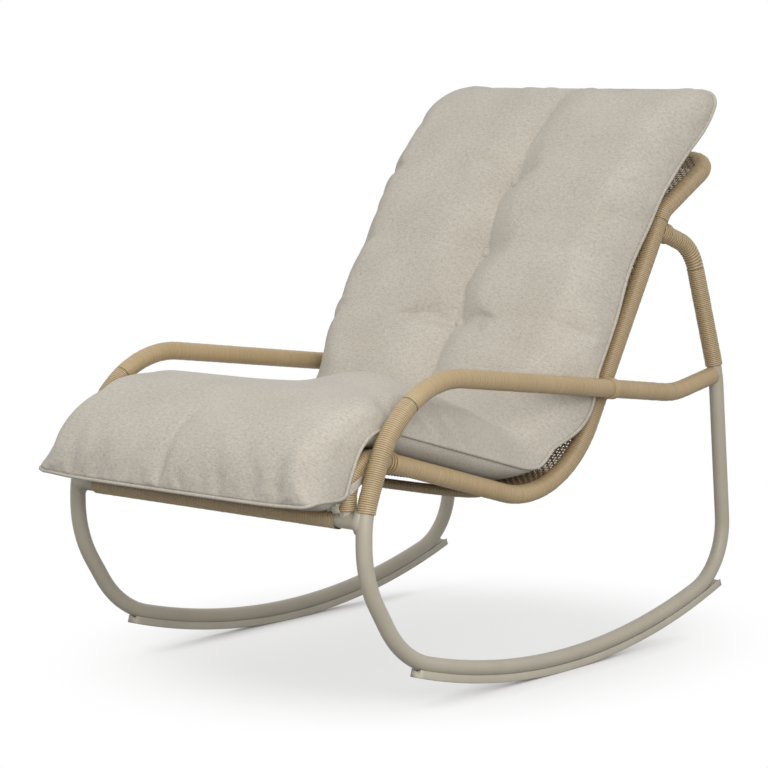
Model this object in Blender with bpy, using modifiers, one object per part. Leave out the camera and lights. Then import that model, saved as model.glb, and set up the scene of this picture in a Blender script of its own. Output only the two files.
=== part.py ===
"""Outdoor rocking chair: two bent side frames on runners, a woven sling and one long cushion tied to it.

Lengths are metres and angles are degrees. The chair faces -Y and stands on Z = 0.
In the side view y is measured from the rocking point, where the runners touch the floor at rest.
"""

import math

import bmesh
import bpy
from mathutils import Matrix, Vector

# Tube, wrap and fits
TUBE_DIAMETER = 0.025
WRAP_THICKNESS = 0.0025
STRAND_DIAMETER = 0.0022
CLEARANCE = 0.0003

# Whole chair
FRAME_WIDTH = 0.612
ORIGIN_TO_ROCKING_POINT = 0.0594

# Rockers and runners
ROCKER_RADIUS = 1.337
RUNNER_BASE = 0.0100
RUNNER_WIDTH = 0.0185
RUNNER_STEP = 1.54
RUNNER_FRONT_OVERRUN = 0.0295
RUNNER_REAR_OVERRUN = 0.0626

# Front leg and arm
LEG_FORWARD = 0.4885
LEG_RAKE = 33.0
KNEE_HEIGHT = 0.2176
FRONT_BAR_HEIGHT = 0.304
LEG_JOINT_HEIGHT = 0.345
POST_BEND_HEIGHT = 0.312
POST_RAKE = 23.0
ARM_FRONT_HEIGHT = 0.5150
ARM_TAIL = 0.1285
ARM_TAIL_RISE = 9.5

# Rear upright
UPRIGHT_BEHIND_BACK = 0.13435
ARM_JOINT_HEIGHT = 0.444
UPRIGHT_LEAN = 5.9
UPRIGHT_TOP_REACH = 0.104
UPRIGHT_TOP_DROP = 0.036

# Sling frame
SEAT_FRONT_HEIGHT = 0.4069
SEAT_DEPTH = 0.5195
SEAT_SLOPE = 16.06
BACK_ANGLE = 59.2
BACK_LENGTH = 0.5450
HEAD_ANGLE = 29.0
HEAD_LENGTH = 0.1660
BACK_JOINT_DROP = 0.0340

# Centreline bend radii
KNEE_BEND = 0.180
FRONT_BEND = 0.170
REAR_BEND = 0.110
POST_BEND = 0.150
ARM_BEND = 0.190
TAIL_BEND = 0.200
UPRIGHT_BEND = 0.300
TOP_BEND = 0.060
RAIL_FRONT_BEND = 0.055
SEAT_BEND = 0.200
NECK_BEND = 0.040
HEAD_CORNER_BEND = 0.045

# Woven sling
SLING_THICKNESS = 0.003
SLING_HEIGHT = 0.012
SLING_SAG = 0.006

# Lashings
ARM_LASHING_TURNS = 4
ARM_LASHING_PITCH = 0.0034
ARM_LASHING_FORWARD = 0.022
SEAT_LASHING_TURNS = 3
SEAT_LASHING_PITCH = 0.0060
SEAT_LASHING_SETBACK = 0.042
LASHING_LEAST_GAP = 0.0004

# Cushion
CUSHION_FRONT_OVERHANG = 0.0101
CUSHION_TOP_OVERHANG = 0.0231
CUSHION_FRONT_CORNER = 0.014
CUSHION_TOP_CORNER = 0.036
NOSE_LENGTH = 0.127
NOSE_DROOP = 65.0
CUSHION_TOP_LENGTH = 0.232
CUSHION_TOP_ANGLE = 44.0
FRONT_SEAM_HEIGHT = 0.070
FRONT_SEAM_RUN = 0.045
NOSE_SEAM_HEIGHT = 0.006
SEAM_HEIGHT = 0.030
TOP_SEAM_HEIGHT = 0.042
FRONT_CROWN = 0.0784
NOSE_CROWN = 0.066
SEAT_CROWN = 0.086
SEAT_REAR_CROWN = 0.104
BACK_CROWN = 0.094
TOP_CROWN = 0.080
FOLD_BEFORE_BEND = 0.030
FOLD_DEPTH = 0.022
FOLD_WIDTH = 0.060
FOLD_HALF_WIDTH = 0.190
CREASE_DEPTH = 0.016
CREASE_WIDTH = 0.016
HUMP_RISE = 0.034
HUMP_LENGTH = 0.080
HUMP_HALF_WIDTH = 0.210
HUMP_AFTER_NOSE = 0.205
BACK_SETBACK = 0.016
EDGE_ROLL = 0.110
FRONT_ROLL = 0.042
SIDE_ROLL = 0.062
REAR_ROLL = 0.125
BACK_ROLL = 0.075
TOP_ROLL = 0.105
CENTRE_VALLEY_DEPTH = 0.026
CENTRE_VALLEY_WIDTH = 0.040
TUFT_DEPTH = 0.014
TUFT_WIDTH = 0.032
TUFT_PITCH = 0.135
LOWEST_TUFT = 0.108
BUTTON_DIAMETER = 0.019
BUTTON_THICKNESS = 0.009

# Cushion ties
TIE_WIDTH = 0.012
TIE_THICKNESS = 0.0024
TIE_HEIGHT_ABOVE_BAR = 0.030
TIE_TAIL_LENGTH = 0.036
TIE_TAIL_SPREAD = 14.0
TIE_KNOT_DIAMETER = 0.018

# Facets
TUBE_SIDES = 10
BEND_STEP = 11.0
ROCKER_FACET_STEP = 3.0
LOOP_POINTS = 24

TUBE_RADIUS = TUBE_DIAMETER / 2
WRAP_RADIUS = TUBE_RADIUS + WRAP_THICKNESS
FRAME_X = FRAME_WIDTH / 2
RAIL_X = FRAME_X - 2 * WRAP_RADIUS - STRAND_DIAMETER - 3 * CLEARANCE
FACET_REACH = 1 / math.cos(math.pi / TUBE_SIDES)

COLOURS = {
    "frame_paint": ((0.436, 0.392, 0.305), 0.45, 0.0),
    "runner_strip": ((0.475, 0.435, 0.350), 0.60, 0.0),
    "wicker": ((0.392, 0.287, 0.150), 0.60, 0.0),
    "cushion_fabric": ((0.527, 0.485, 0.412), 0.95, 0.0),
}


def side(y, z, x=0.0):
    """A point given as in the side view."""
    return Vector((x, y, z))


def along(angle):
    """Unit vector in the side view, at an angle above +Y."""
    return side(math.cos(math.radians(angle)), math.sin(math.radians(angle)))


def moved(points, x):
    """The same outline in another plane of the chair."""
    return [Vector((x, p.y, p.z)) for p in points]


def mirrored(points):
    return [Vector((-p.x, p.y, p.z)) for p in points]


def arc_steps(sweep, step=BEND_STEP):
    return max(2, round(math.degrees(sweep) / step))


def bent_path(corners, radii):
    """Tube centreline through corners, rounded to the radii as far as the legs allow."""
    halves = [(a - b).angle(c - b) / 2 for a, b, c in zip(corners, corners[1:], corners[2:])]
    wanted = [0, *(radius / math.tan(half) for radius, half in zip(radii, halves)), 0]
    legs = zip(corners, corners[1:], wanted, wanted[1:])
    fits = [min(1, 0.98 * (b - a).length / max(start + end, 1e-9)) for a, b, start, end in legs]
    points = [corners[0].copy()]
    for i, half in enumerate(halves):
        before, corner, after = corners[i : i + 3]
        inward, outward = (before - corner).normalized(), (after - corner).normalized()
        reach = wanted[i + 1] * min(fits[i], fits[i + 1])
        centre = corner + (inward + outward).normalized() * reach / math.cos(half)
        spoke = corner + inward * reach - centre
        sweep = math.pi - 2 * half
        steps = arc_steps(sweep)
        axis = inward.cross(outward)
        turns = (-sweep * k / steps for k in range(steps + 1))
        points += [centre + Matrix.Rotation(turn, 3, axis) @ spoke for turn in turns]
    points.append(corners[-1].copy())
    return points


def lengths(points):
    """Distance along a path at each of its points."""
    total = [0.0]
    for a, b in zip(points, points[1:]):
        total.append(total[-1] + (b - a).length)
    return total


def point_at(points, distance):
    """Point and unit direction at a distance along a path."""
    at = lengths(points)
    for i in range(len(points) - 1):
        if distance <= at[i + 1] or i == len(points) - 2:
            step = points[i + 1] - points[i]
            return points[i] + step.normalized() * (distance - at[i]), step.normalized()


def trimmed(points, start, end):
    """The stretch of a path between two distances along it."""
    at = lengths(points)
    least = 0.001
    inner = [p for p, d in zip(points, at) if start + least < d < end - least]
    return [point_at(points, start)[0], *inner, point_at(points, end)[0]]


def length_at_height(points, height):
    """Distance along a path to the first place where it comes down to a height."""
    at = lengths(points)
    for i, (a, b) in enumerate(zip(points, points[1:])):
        if b.z < height <= a.z:
            return at[i] + (b - a).length * (a.z - height) / (a.z - b.z)


def crossing(a, a_direction, b, b_direction):
    """Where two lines of the side view meet."""
    gap = b - a
    turn = a_direction.y * b_direction.z - a_direction.z * b_direction.y
    return a + a_direction * (gap.y * b_direction.z - gap.z * b_direction.y) / turn


def bend_into_rocker(start, direction, inside, bend, centre, radius):
    """Arc from a straight leg into the rocker's circle: its centre and its ends on the leg and rocker."""
    base = start + inside * bend - centre
    along_leg = base.dot(direction)
    distance = -along_leg + math.sqrt(along_leg**2 - base.length_squared + (radius - bend) ** 2)
    middle = start + inside * bend + direction * distance
    return middle, start + direction * distance, centre + (middle - centre).normalized() * radius


def arc_between(centre, start, end, step=BEND_STEP):
    """Points from start to end about a centre, the shorter way round."""
    a, b = start - centre, end - centre
    axis, sweep = a.cross(b), a.angle(b)
    steps = arc_steps(sweep, step)
    return [centre + Matrix.Rotation(sweep * i / steps, 3, axis) @ a for i in range(steps + 1)]


# Side view of the chair
HALF_FACET = math.radians(RUNNER_STEP / 2)
ROCKER_CENTRE = side(0, ROCKER_RADIUS * math.cos(HALF_FACET))
TUBE_ARC_RADIUS = ROCKER_RADIUS - RUNNER_BASE - TUBE_RADIUS

FRONT_BAR = side(-LEG_FORWARD, FRONT_BAR_HEIGHT)
KNEE = side(-LEG_FORWARD, KNEE_HEIGHT)
POST_FOOT = side(-LEG_FORWARD, POST_BEND_HEIGHT)
ARM_RISE = ARM_FRONT_HEIGHT - POST_BEND_HEIGHT
ARM_FRONT = POST_FOOT + side(ARM_RISE * math.tan(math.radians(POST_RAKE)), ARM_RISE)

SEAT_FRONT = side(-LEG_FORWARD, SEAT_FRONT_HEIGHT)
SEAT_REAR = SEAT_FRONT + side(SEAT_DEPTH, -SEAT_DEPTH * math.tan(math.radians(SEAT_SLOPE)))
NECK = SEAT_REAR + along(BACK_ANGLE) * BACK_LENGTH
HEAD = NECK + along(HEAD_ANGLE) * HEAD_LENGTH
BACK_JOINT = NECK - along(BACK_ANGLE) * BACK_JOINT_DROP
UPRIGHT_TOP = BACK_JOINT + side(UPRIGHT_TOP_REACH, -UPRIGHT_TOP_DROP)
ARM_JOINT = side(BACK_JOINT.y + UPRIGHT_BEHIND_BACK, ARM_JOINT_HEIGHT)
ARM_REAR = ARM_JOINT - along(ARM_TAIL_RISE) * ARM_TAIL


def front_bend():
    """Bend from the leg into the rocker."""
    return bend_into_rocker(
        KNEE, along(LEG_RAKE - 90), along(LEG_RAKE), FRONT_BEND, ROCKER_CENTRE, TUBE_ARC_RADIUS
    )


def rear_bend():
    """Bend from the upright into the rocker."""
    down, inside = along(UPRIGHT_LEAN - 90), along(UPRIGHT_LEAN + 180)
    return bend_into_rocker(ARM_JOINT, down, inside, REAR_BEND, ROCKER_CENTRE, TUBE_ARC_RADIUS)


def arm_and_leg_path():
    """Left arm from the upright forward, then down the post and the leg to the rocker's front bend."""
    corners = [ARM_JOINT, ARM_REAR, ARM_FRONT, POST_FOOT, KNEE, front_bend()[1]]
    return moved(bent_path(corners, [TAIL_BEND, ARM_BEND, POST_BEND, KNEE_BEND]), FRAME_X)


def rocker_and_upright_path():
    """Left rocker from its front bend to the rear, then up the upright and inward to the back rail."""
    front, rear = front_bend(), rear_bend()
    low = arc_between(front[0], front[1], front[2])
    low += arc_between(ROCKER_CENTRE, front[2], rear[2], ROCKER_FACET_STEP)[1:]
    low += arc_between(rear[0], rear[2], rear[1])[1:]
    low = moved(low, FRAME_X)
    top = [Vector((RAIL_X, p.y, p.z)) for p in (UPRIGHT_TOP, BACK_JOINT)]
    corners = [low[-1], Vector((FRAME_X, ARM_JOINT.y, ARM_JOINT.z)), *top]
    return low[:-1] + bent_path(corners, [UPRIGHT_BEND, TOP_BEND])


def rail_path():
    """Half of the sling frame in one plane, from the front bar along the seat, the back and the head."""
    corners = [FRONT_BAR, SEAT_FRONT, SEAT_REAR, NECK, HEAD]
    return bent_path(corners, [RAIL_FRONT_BEND, SEAT_BEND, NECK_BEND])


def sling_frame_path():
    """The whole bent tube of the sling frame, from its left front end round the top to its right one."""
    left = moved([FRONT_BAR, SEAT_FRONT, SEAT_REAR, NECK, HEAD], RAIL_X)
    bends = [RAIL_FRONT_BEND, SEAT_BEND, NECK_BEND, HEAD_CORNER_BEND]
    return bent_path(left + mirrored(left)[::-1], bends + bends[::-1])


def new_collection(name):
    collection = bpy.data.collections.new(name)
    bpy.context.scene.collection.children.link(collection)
    return collection


def new_material(name):
    colour, roughness, metallic = COLOURS[name]
    material = bpy.data.materials.new(name)
    material.use_nodes = True
    shader = material.node_tree.nodes["Principled BSDF"]
    shader.inputs["Base Color"].default_value = (*colour, 1.0)
    shader.inputs["Roughness"].default_value = roughness
    shader.inputs["Metallic"].default_value = metallic
    return material


for old in list(bpy.data.objects):
    bpy.data.objects.remove(old)
CHAIR = new_collection("rocking_chair")
CUTTERS = new_collection("cutters")
MATERIALS = {name: new_material(name) for name in COLOURS}
ROOT = bpy.data.objects.new("rocking_point", None)
ROOT.location = (0, ORIGIN_TO_ROCKING_POINT, 0)
CHAIR.objects.link(ROOT)


def add(name, data, material):
    """A named sub-part, parented to the rocking point."""
    part = bpy.data.objects.new(name, data)
    part.parent = ROOT
    CHAIR.objects.link(part)
    data.materials.append(MATERIALS[material])
    return part


def add_cutter(name, mesh):
    cutter = bpy.data.objects.new(name, mesh)
    cutter.parent = ROOT
    cutter.hide_render = True
    cutter.display_type = "WIRE"
    CUTTERS.objects.link(cutter)
    return cutter


def boolean(part, other, operation="DIFFERENCE"):
    modifier = part.modifiers.new(operation.lower(), "BOOLEAN")
    modifier.operation = operation
    modifier.object = other


def tube_curve(name, points, radius, sides=TUBE_SIDES, capped=True):
    """A round bar along a path, as a curve with a bevel."""
    curve = bpy.data.curves.new(name, "CURVE")
    curve.dimensions = "3D"
    curve.bevel_depth = radius
    curve.bevel_resolution = (sides - 4) // 2
    curve.use_fill_caps = capped
    spline = curve.splines.new("POLY")
    spline.points.add(len(points) - 1)
    for control, p in zip(spline.points, points):
        control.co = (*p, 1.0)
    return curve


def tube_mesh(name, points, radius, capped=True):
    """The same bar as a mesh with welded caps, for cutting and joining."""
    curve = tube_curve(name, points, radius, capped=capped)
    holder = bpy.data.objects.new(name, curve)
    bpy.context.scene.collection.objects.link(holder)
    bpy.context.view_layer.update()
    mesh = bpy.data.meshes.new_from_object(holder.evaluated_get(bpy.context.evaluated_depsgraph_get()))
    bpy.data.objects.remove(holder)
    bpy.data.curves.remove(curve)
    weld(mesh)
    smooth(mesh)
    return mesh


def weld(mesh, distance=1e-6):
    work = bmesh.new()
    work.from_mesh(mesh)
    bmesh.ops.remove_doubles(work, verts=work.verts, dist=distance)
    bmesh.ops.recalc_face_normals(work, faces=work.faces)
    work.to_mesh(mesh)
    work.free()


def smooth(mesh):
    mesh.shade_smooth()
    mesh.set_sharp_from_angle(angle=math.radians(50))


def solidify(part, thickness, offset):
    modifier = part.modifiers.new("thickness", "SOLIDIFY")
    modifier.thickness = thickness
    modifier.offset = offset


def add_wrap(name, points):
    """Close-wound strand as a sleeve that clears the facets of the tube inside it."""
    inner = (TUBE_RADIUS + CLEARANCE) * FACET_REACH
    wrap = add(name, tube_mesh(name, points, inner, capped=False), "wicker")
    solidify(wrap, WRAP_RADIUS - inner, 1)
    return wrap


def tube_cutter(name, points, radius=TUBE_RADIUS):
    """Cutter that leaves clearance round a tube."""
    return add_cutter(name, tube_mesh(name, points, (radius + CLEARANCE) * FACET_REACH))


def near(points, distance, reach):
    """The stretch of a path within reach of a distance along it."""
    return trimmed(points, max(0, distance - reach), min(lengths(points)[-1], distance + reach))


def nearest_distance(points, target):
    """Distance along a path to its point nearest a target."""
    best = None
    at = lengths(points)
    for i, (a, b) in enumerate(zip(points, points[1:])):
        step = b - a
        share = min(1, max(0, (target - a).dot(step) / step.length_squared))
        away = (a + step * share - target).length
        if best is None or away < best[0]:
            best = (away, at[i] + step.length * share)
    return best[1]


COPE_REACH = 3 * TUBE_DIAMETER


def coped_tube(name, points, material, *cutters):
    """A tube whose ends are cut to fit round the tubes that they meet."""
    tube = add(name, tube_mesh(name, points, TUBE_RADIUS), material)
    for cutter in cutters:
        boolean(tube, cutter)
    return tube


def front_bar_cutter():
    ends = [Vector((FRAME_WIDTH * s, *FRONT_BAR.yz)) for s in (1, -1)]
    return tube_cutter("front_bar_cutter", ends)


def build_side(prefix, flip, bar_cutter):
    """One side frame: rocker tube, arm tube and their wraps."""
    arm_leg = flip(arm_and_leg_path())
    rocker = flip(rocker_and_upright_path())
    rail = flip(moved(rail_path(), RAIL_X))
    joint = length_at_height(arm_leg, LEG_JOINT_HEIGHT)

    upright_at = nearest_distance(rocker, arm_leg[0])
    upright_cutter = tube_cutter(prefix + "_upright_cutter", near(rocker, upright_at, COPE_REACH))
    rail_joint_at = nearest_distance(rail, rocker[-1])
    rail_at_joint = near(rail, rail_joint_at, COPE_REACH)
    rail_cutter = tube_cutter(prefix + "_rail_cutter", rail_at_joint)
    rail_wrap_cutter = tube_cutter(prefix + "_rail_wrap_cutter", rail_at_joint, WRAP_RADIUS)

    leg = trimmed(arm_leg, joint + CLEARANCE, lengths(arm_leg)[-1])
    coped_tube(prefix + "_rocker_tube", leg[:-1] + rocker, "frame_paint", rail_cutter)
    coped_tube(prefix + "_arm_tube", trimmed(arm_leg, 0, joint), "frame_paint", upright_cutter)

    wrap_foot = length_at_height(arm_leg, FRONT_BAR_HEIGHT + TUBE_RADIUS)
    arm_wrap = add_wrap(prefix + "_arm_wrap", trimmed(arm_leg, TUBE_RADIUS / 2, wrap_foot))
    boolean(arm_wrap, upright_cutter)
    boolean(arm_wrap, bar_cutter)

    above_arm = upright_at + WRAP_RADIUS * FACET_REACH + 2 * CLEARANCE
    upright_wrap = add_wrap(prefix + "_upright_wrap", trimmed(rocker, above_arm, lengths(rocker)[-1]))
    boolean(upright_wrap, rail_wrap_cutter)
    return arm_leg, rocker, rail


def runner_profile():
    """Section of the runner strip as (x, depth below the tube's centre), with the tube's groove on top."""
    groove = TUBE_RADIUS + CLEARANCE
    half = RUNNER_WIDTH / 2
    edge = math.asin(half / groove)
    steps = 6
    outline = [(half, TUBE_RADIUS + RUNNER_BASE), (-half, TUBE_RADIUS + RUNNER_BASE)]
    for i in range(steps + 1):
        angle = edge * (2 * i / steps - 1)
        outline.append((groove * math.sin(angle), groove * math.cos(angle)))
    return outline


def runner_steps(bend_end, overrun):
    """Facets of the runner from the rocking point to an overrun past one end of the rocker."""
    spoke = bend_end - ROCKER_CENTRE
    reach = math.degrees(side(0, -1).angle(spoke) + overrun / ROCKER_RADIUS)
    return round(reach / RUNNER_STEP - 0.5)


def build_runner(prefix, sign):
    """Runner strip, its profile spun about the rocker's centre, with a flat facet at the rocking point."""
    mesh = bpy.data.meshes.new(prefix + "_runner")
    work = bmesh.new()
    steps_front = runner_steps(front_bend()[2], RUNNER_FRONT_OVERRUN)
    steps_rear = runner_steps(rear_bend()[2], RUNNER_REAR_OVERRUN)
    first = -(steps_front + 0.5) * RUNNER_STEP
    steps = steps_front + steps_rear + 1
    turn = Matrix.Rotation(math.radians(first), 3, "X")
    corners = []
    for x, depth in runner_profile():
        spoke = side(0, -(TUBE_ARC_RADIUS + depth))
        corners.append(work.verts.new(ROCKER_CENTRE + turn @ spoke + Vector((sign * FRAME_X + x, 0, 0))))
    face = work.faces.new(corners)
    bmesh.ops.spin(
        work,
        geom=[face, *face.edges, *face.verts],
        cent=ROCKER_CENTRE,
        axis=(1, 0, 0),
        angle=math.radians(steps * RUNNER_STEP),
        steps=steps,
        use_merge=False,
        use_duplicate=False,
    )
    bmesh.ops.recalc_face_normals(work, faces=work.faces)
    work.to_mesh(mesh)
    work.free()
    smooth(mesh)
    add(prefix + "_runner", mesh, "runner_strip")


def helix(centre, axis, radius, turns, pitch, start_direction):
    """Turns of strand round a tube, with straight ends one strand long."""
    axis = axis.normalized()
    across = (start_direction - axis * start_direction.dot(axis)).normalized()
    count = turns * LOOP_POINTS
    points = []
    for i in range(count + 1):
        spoke = Matrix.Rotation(2 * math.pi * i / LOOP_POINTS, 3, axis) @ across * radius
        points.append(centre + axis * pitch * (i / LOOP_POINTS - turns / 2) + spoke)
    first = points[0] + (points[0] - points[1]).normalized() * STRAND_DIAMETER
    last = points[-1] + (points[-1] - points[-2]).normalized() * STRAND_DIAMETER
    return [first, *points, last]


def least_gap(points):
    """Least clear distance between turns of a winding, measured on its points."""
    half = LOOP_POINTS // 2
    pairs = ((a, b) for i, a in enumerate(points) for b in points[i + half :])
    return min((a - b).length for a, b in pairs) - STRAND_DIAMETER


LASHING_RADIUS = (WRAP_RADIUS + CLEARANCE + STRAND_DIAMETER / 2) / math.cos(math.pi / LOOP_POINTS)


def build_lashing(name, centre, axis, turns, pitch):
    outside = Vector((math.copysign(1, centre.x), 0, 0))
    points = helix(centre, axis, LASHING_RADIUS, turns, pitch, outside)
    gap = least_gap(points)
    wanted = LASHING_LEAST_GAP * 1000
    print(f"{name}: least gap between turns {gap * 1000:.2f} mm, wanted over {wanted:.1f} mm")
    curve = tube_curve(name, points, STRAND_DIAMETER / 2, sides=6)
    add(name, curve, "wicker")


def build_lashings(prefix, flip, sling):
    """Strand round the arm where the back rail passes it, and round the seat rail behind the post."""
    arm_direction = (ARM_REAR - ARM_FRONT).normalized()
    at_back = crossing(ARM_FRONT, arm_direction, SEAT_REAR, along(BACK_ANGLE))
    at_back -= arm_direction * ARM_LASHING_FORWARD
    centre, tip = flip(moved([at_back, at_back + arm_direction], FRAME_X))
    build_lashing(prefix + "_arm_lashing", centre, tip - centre, ARM_LASHING_TURNS, ARM_LASHING_PITCH)

    post_direction = (ARM_FRONT - POST_FOOT).normalized()
    at_post = crossing(SEAT_FRONT, along(-SEAT_SLOPE), POST_FOOT, post_direction)
    behind = at_post + along(-SEAT_SLOPE) * (WRAP_RADIUS + SEAT_LASHING_SETBACK)
    centre, tip = flip(moved([behind, behind + along(-SEAT_SLOPE)], RAIL_X))
    build_lashing(prefix + "_seat_lashing", centre, tip - centre, SEAT_LASHING_TURNS, SEAT_LASHING_PITCH)
    reach = (tip - centre) * (SEAT_LASHING_TURNS * SEAT_LASHING_PITCH / 2 + STRAND_DIAMETER)
    name = prefix + "_lashing_slit"
    slit = tube_mesh(name, [centre - reach, centre + reach], LASHING_RADIUS + STRAND_DIAMETER)
    boolean(sling, add_cutter(name, slit))


def edge_beside_wrap(height):
    """How far from a wrapped tube's centre a sheet ends that passes it at a height."""
    low = max(0, height - SLING_THICKNESS / 2)
    return math.sqrt(max(0, WRAP_RADIUS**2 - low**2)) + 2 * CLEARANCE


def normal_of(direction):
    """Side-view normal of a path's direction, towards the sitter."""
    return side(-direction.z, direction.y)


def sling_sag(share, u):
    """How far the sling hangs below its edges, at a share of its length and of its half width."""
    return SLING_SAG * (1 - (2 * share - 1) ** 8) * (1 - u * u)


def sling_half_width(rest):
    """Half width of the sling at a distance from the top rail, rounded inside the head corners."""
    edge = edge_beside_wrap(SLING_HEIGHT)
    bend = HEAD_CORNER_BEND
    full = RAIL_X - edge
    if rest >= bend:
        return full
    return RAIL_X - bend + math.sqrt(max(0, (bend - edge) ** 2 - (bend - rest) ** 2))


LONGEST_FACET = 0.060


def stations(points, start, end):
    """Distances along a path from start to end: its own corners, and more where they lie far apart."""
    least = 0.003
    at = [start, *(d for d in lengths(points) if start + least < d < end - least), end]
    result = [start]
    for a, b in zip(at, at[1:]):
        parts = max(1, math.ceil((b - a) / LONGEST_FACET))
        result += [a + (b - a) * (i + 1) / parts for i in range(parts)]
    return result


def raised(points, distance, height):
    """Point at a height above a path, towards the sitter, mitred at the path's corners."""
    p, after = point_at(points, distance + 1e-6)
    before = point_at(points, max(0, distance - 1e-6))[1]
    middle = (before + after).normalized()
    return p + normal_of(middle) * height / math.cos(before.angle(after) / 2)


def sheet_mesh(name, rows, columns, place):
    """Open grid of quads, each corner placed by its row and column."""
    mesh = bpy.data.meshes.new(name)
    work = bmesh.new()
    grid = [[work.verts.new(place(row, column)) for column in columns] for row in rows]
    for low, high in zip(grid, grid[1:]):
        for a, b, c, d in zip(low, low[1:], high[1:], high):
            work.faces.new((a, b, c, d))
    work.to_mesh(mesh)
    work.free()
    return mesh


SLING_COLUMNS = [i / 3 - 1 for i in range(7)]


def build_sling():
    """Woven sling as one thin sheet along the rails, a little hollow across."""
    rail = rail_path()
    edge = edge_beside_wrap(SLING_HEIGHT)
    total = lengths(rail)[-1]

    def place(distance, u):
        lift = SLING_HEIGHT - sling_sag(distance / total, u)
        return raised(rail, distance, lift) + Vector((u * sling_half_width(total - distance), 0, 0))

    rows = stations(rail, edge, total - edge)
    rows[-1:] = [total - HEAD_CORNER_BEND, total - HEAD_CORNER_BEND / 2, total - edge]
    sling = add("woven_sling", sheet_mesh("woven_sling", rows, SLING_COLUMNS, place), "wicker")
    smooth(sling.data)
    solidify(sling, SLING_THICKNESS, 0)
    return sling


def build_bars(arm_leg, rail):
    """Front cross bar between the legs, and the seat cross bar under the sling, each with its wrap."""
    bar_at = nearest_distance(arm_leg, Vector((FRAME_X, *FRONT_BAR.yz)))
    leg = near(arm_leg, bar_at, COPE_REACH)
    cutters = [tube_cutter("left_leg_cutter", leg), tube_cutter("right_leg_cutter", mirrored(leg))]
    ends = [Vector((FRAME_X * s, *FRONT_BAR.yz)) for s in (1, -1)]
    coped_tube("front_cross_bar", ends, "frame_paint", *cutters)
    inside = RAIL_X - WRAP_RADIUS - 2 * CLEARANCE
    add_wrap("front_bar_wrap", [Vector((inside * s, *FRONT_BAR.yz)) for s in (1, -1)])

    total = lengths(rail)[-1]
    low = min((p for p in rail if p.y > -LEG_FORWARD / 2), key=lambda p: p.z)
    low_at = nearest_distance(rail, low)
    share = low_at / total
    under = SLING_HEIGHT - SLING_THICKNESS / 2 - 2 * CLEARANCE - WRAP_RADIUS

    def bar_point(u):
        return Vector((u * RAIL_X, low.y, low.z + under - sling_sag(share, u)))

    spans = 8
    bar = [bar_point(2 * i / spans - 1) for i in range(spans + 1)]
    near_rail = near(rail, low_at, COPE_REACH)
    left = tube_cutter("left_seat_cutter", near_rail)
    right = tube_cutter("right_seat_cutter", mirrored(near_rail))
    coped_tube("seat_cross_bar", bar, "frame_paint", left, right)
    add_wrap("seat_bar_wrap", bar[1:-1])
    return tube_cutter("seat_bar_cutter", bar)


def build_sling_frame(rocker, bar_cutter, seat_bar_cutter):
    """The bent tube of the sling frame, and its wraps, open where another tube is joined to it."""
    path = sling_frame_path()
    coped_tube("sling_frame_tube", path, "frame_paint", bar_cutter)

    total = lengths(path)[-1]
    foot = WRAP_RADIUS + 2 * CLEARANCE
    corner = total / 2 - RAIL_X + HEAD_CORNER_BEND + TUBE_DIAMETER
    top_end = near(rocker, lengths(rocker)[-1], COPE_REACH)
    for prefix, wrap_path, stub in (
        ("left", path, top_end),
        ("right", path[::-1], mirrored(top_end)),
    ):
        wrap = add_wrap(prefix + "_rail_wrap", trimmed(wrap_path, foot, corner))
        boolean(wrap, seat_bar_cutter)
        boolean(wrap, tube_cutter(prefix + "_upright_stub_cutter", stub))
    add_wrap("top_rail_wrap", trimmed(path, corner + CLEARANCE, total - corner - CLEARANCE))


CUSHION_BASE = WRAP_RADIUS + 2 * CLEARANCE


def cushion_path():
    """Line that the cushion lies on: over the front of the seat, along the rails and on above the head."""
    seat, back = along(-SEAT_SLOPE), along(BACK_ANGLE)
    on_seat = SEAT_FRONT + normal_of(seat) * CUSHION_BASE
    neck = NECK + normal_of(back) * CUSHION_BASE
    rail_reach = RAIL_FRONT_BEND * math.tan(math.radians(90 + SEAT_SLOPE) / 2)
    nose_bend = RAIL_FRONT_BEND + CUSHION_BASE
    nose_reach = nose_bend * math.tan(math.radians(NOSE_DROOP + SEAT_SLOPE) / 2)
    nose = on_seat + seat * (rail_reach - nose_reach)
    front = nose - along(NOSE_DROOP) * NOSE_LENGTH
    fold = crossing(on_seat, seat, neck, back)
    top = neck + along(CUSHION_TOP_ANGLE) * CUSHION_TOP_LENGTH
    fold_bend = SEAT_BEND - CUSHION_BASE
    return bent_path([front, nose, fold, neck, top], [nose_bend, fold_bend, fold_bend]), nose, fold, neck


def eased(knots, at):
    """Height between knots (distance, height), level at each knot."""
    for (a, low), (b, high) in zip(knots, knots[1:]):
        if at <= b:
            t = min(1, max(0, (at - a) / (b - a)))
            return low + (high - low) * t * t * (3 - 2 * t)
    return knots[-1][1]


def bell(distance, width):
    return math.exp(-((distance / width) ** 2))


def short_of(room, roll):
    """How far a place falls short of the full roll of a padded edge: 1 at the seam, 0 beyond the roll."""
    return 1 - min(1, max(0, room / roll))


def dome(room):
    """Rise of a padded edge from 0 at its seam to 1 at the full roll."""
    return math.sqrt(1 - short_of(room, EDGE_ROLL) ** 2)


CUSHION_HALF_COLUMNS = [0.12, 0.40, 0.64, 0.80, 0.90, 0.97, 1]
CUSHION_COLUMNS = [-u for u in reversed(CUSHION_HALF_COLUMNS)] + [0, *CUSHION_HALF_COLUMNS]


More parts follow.
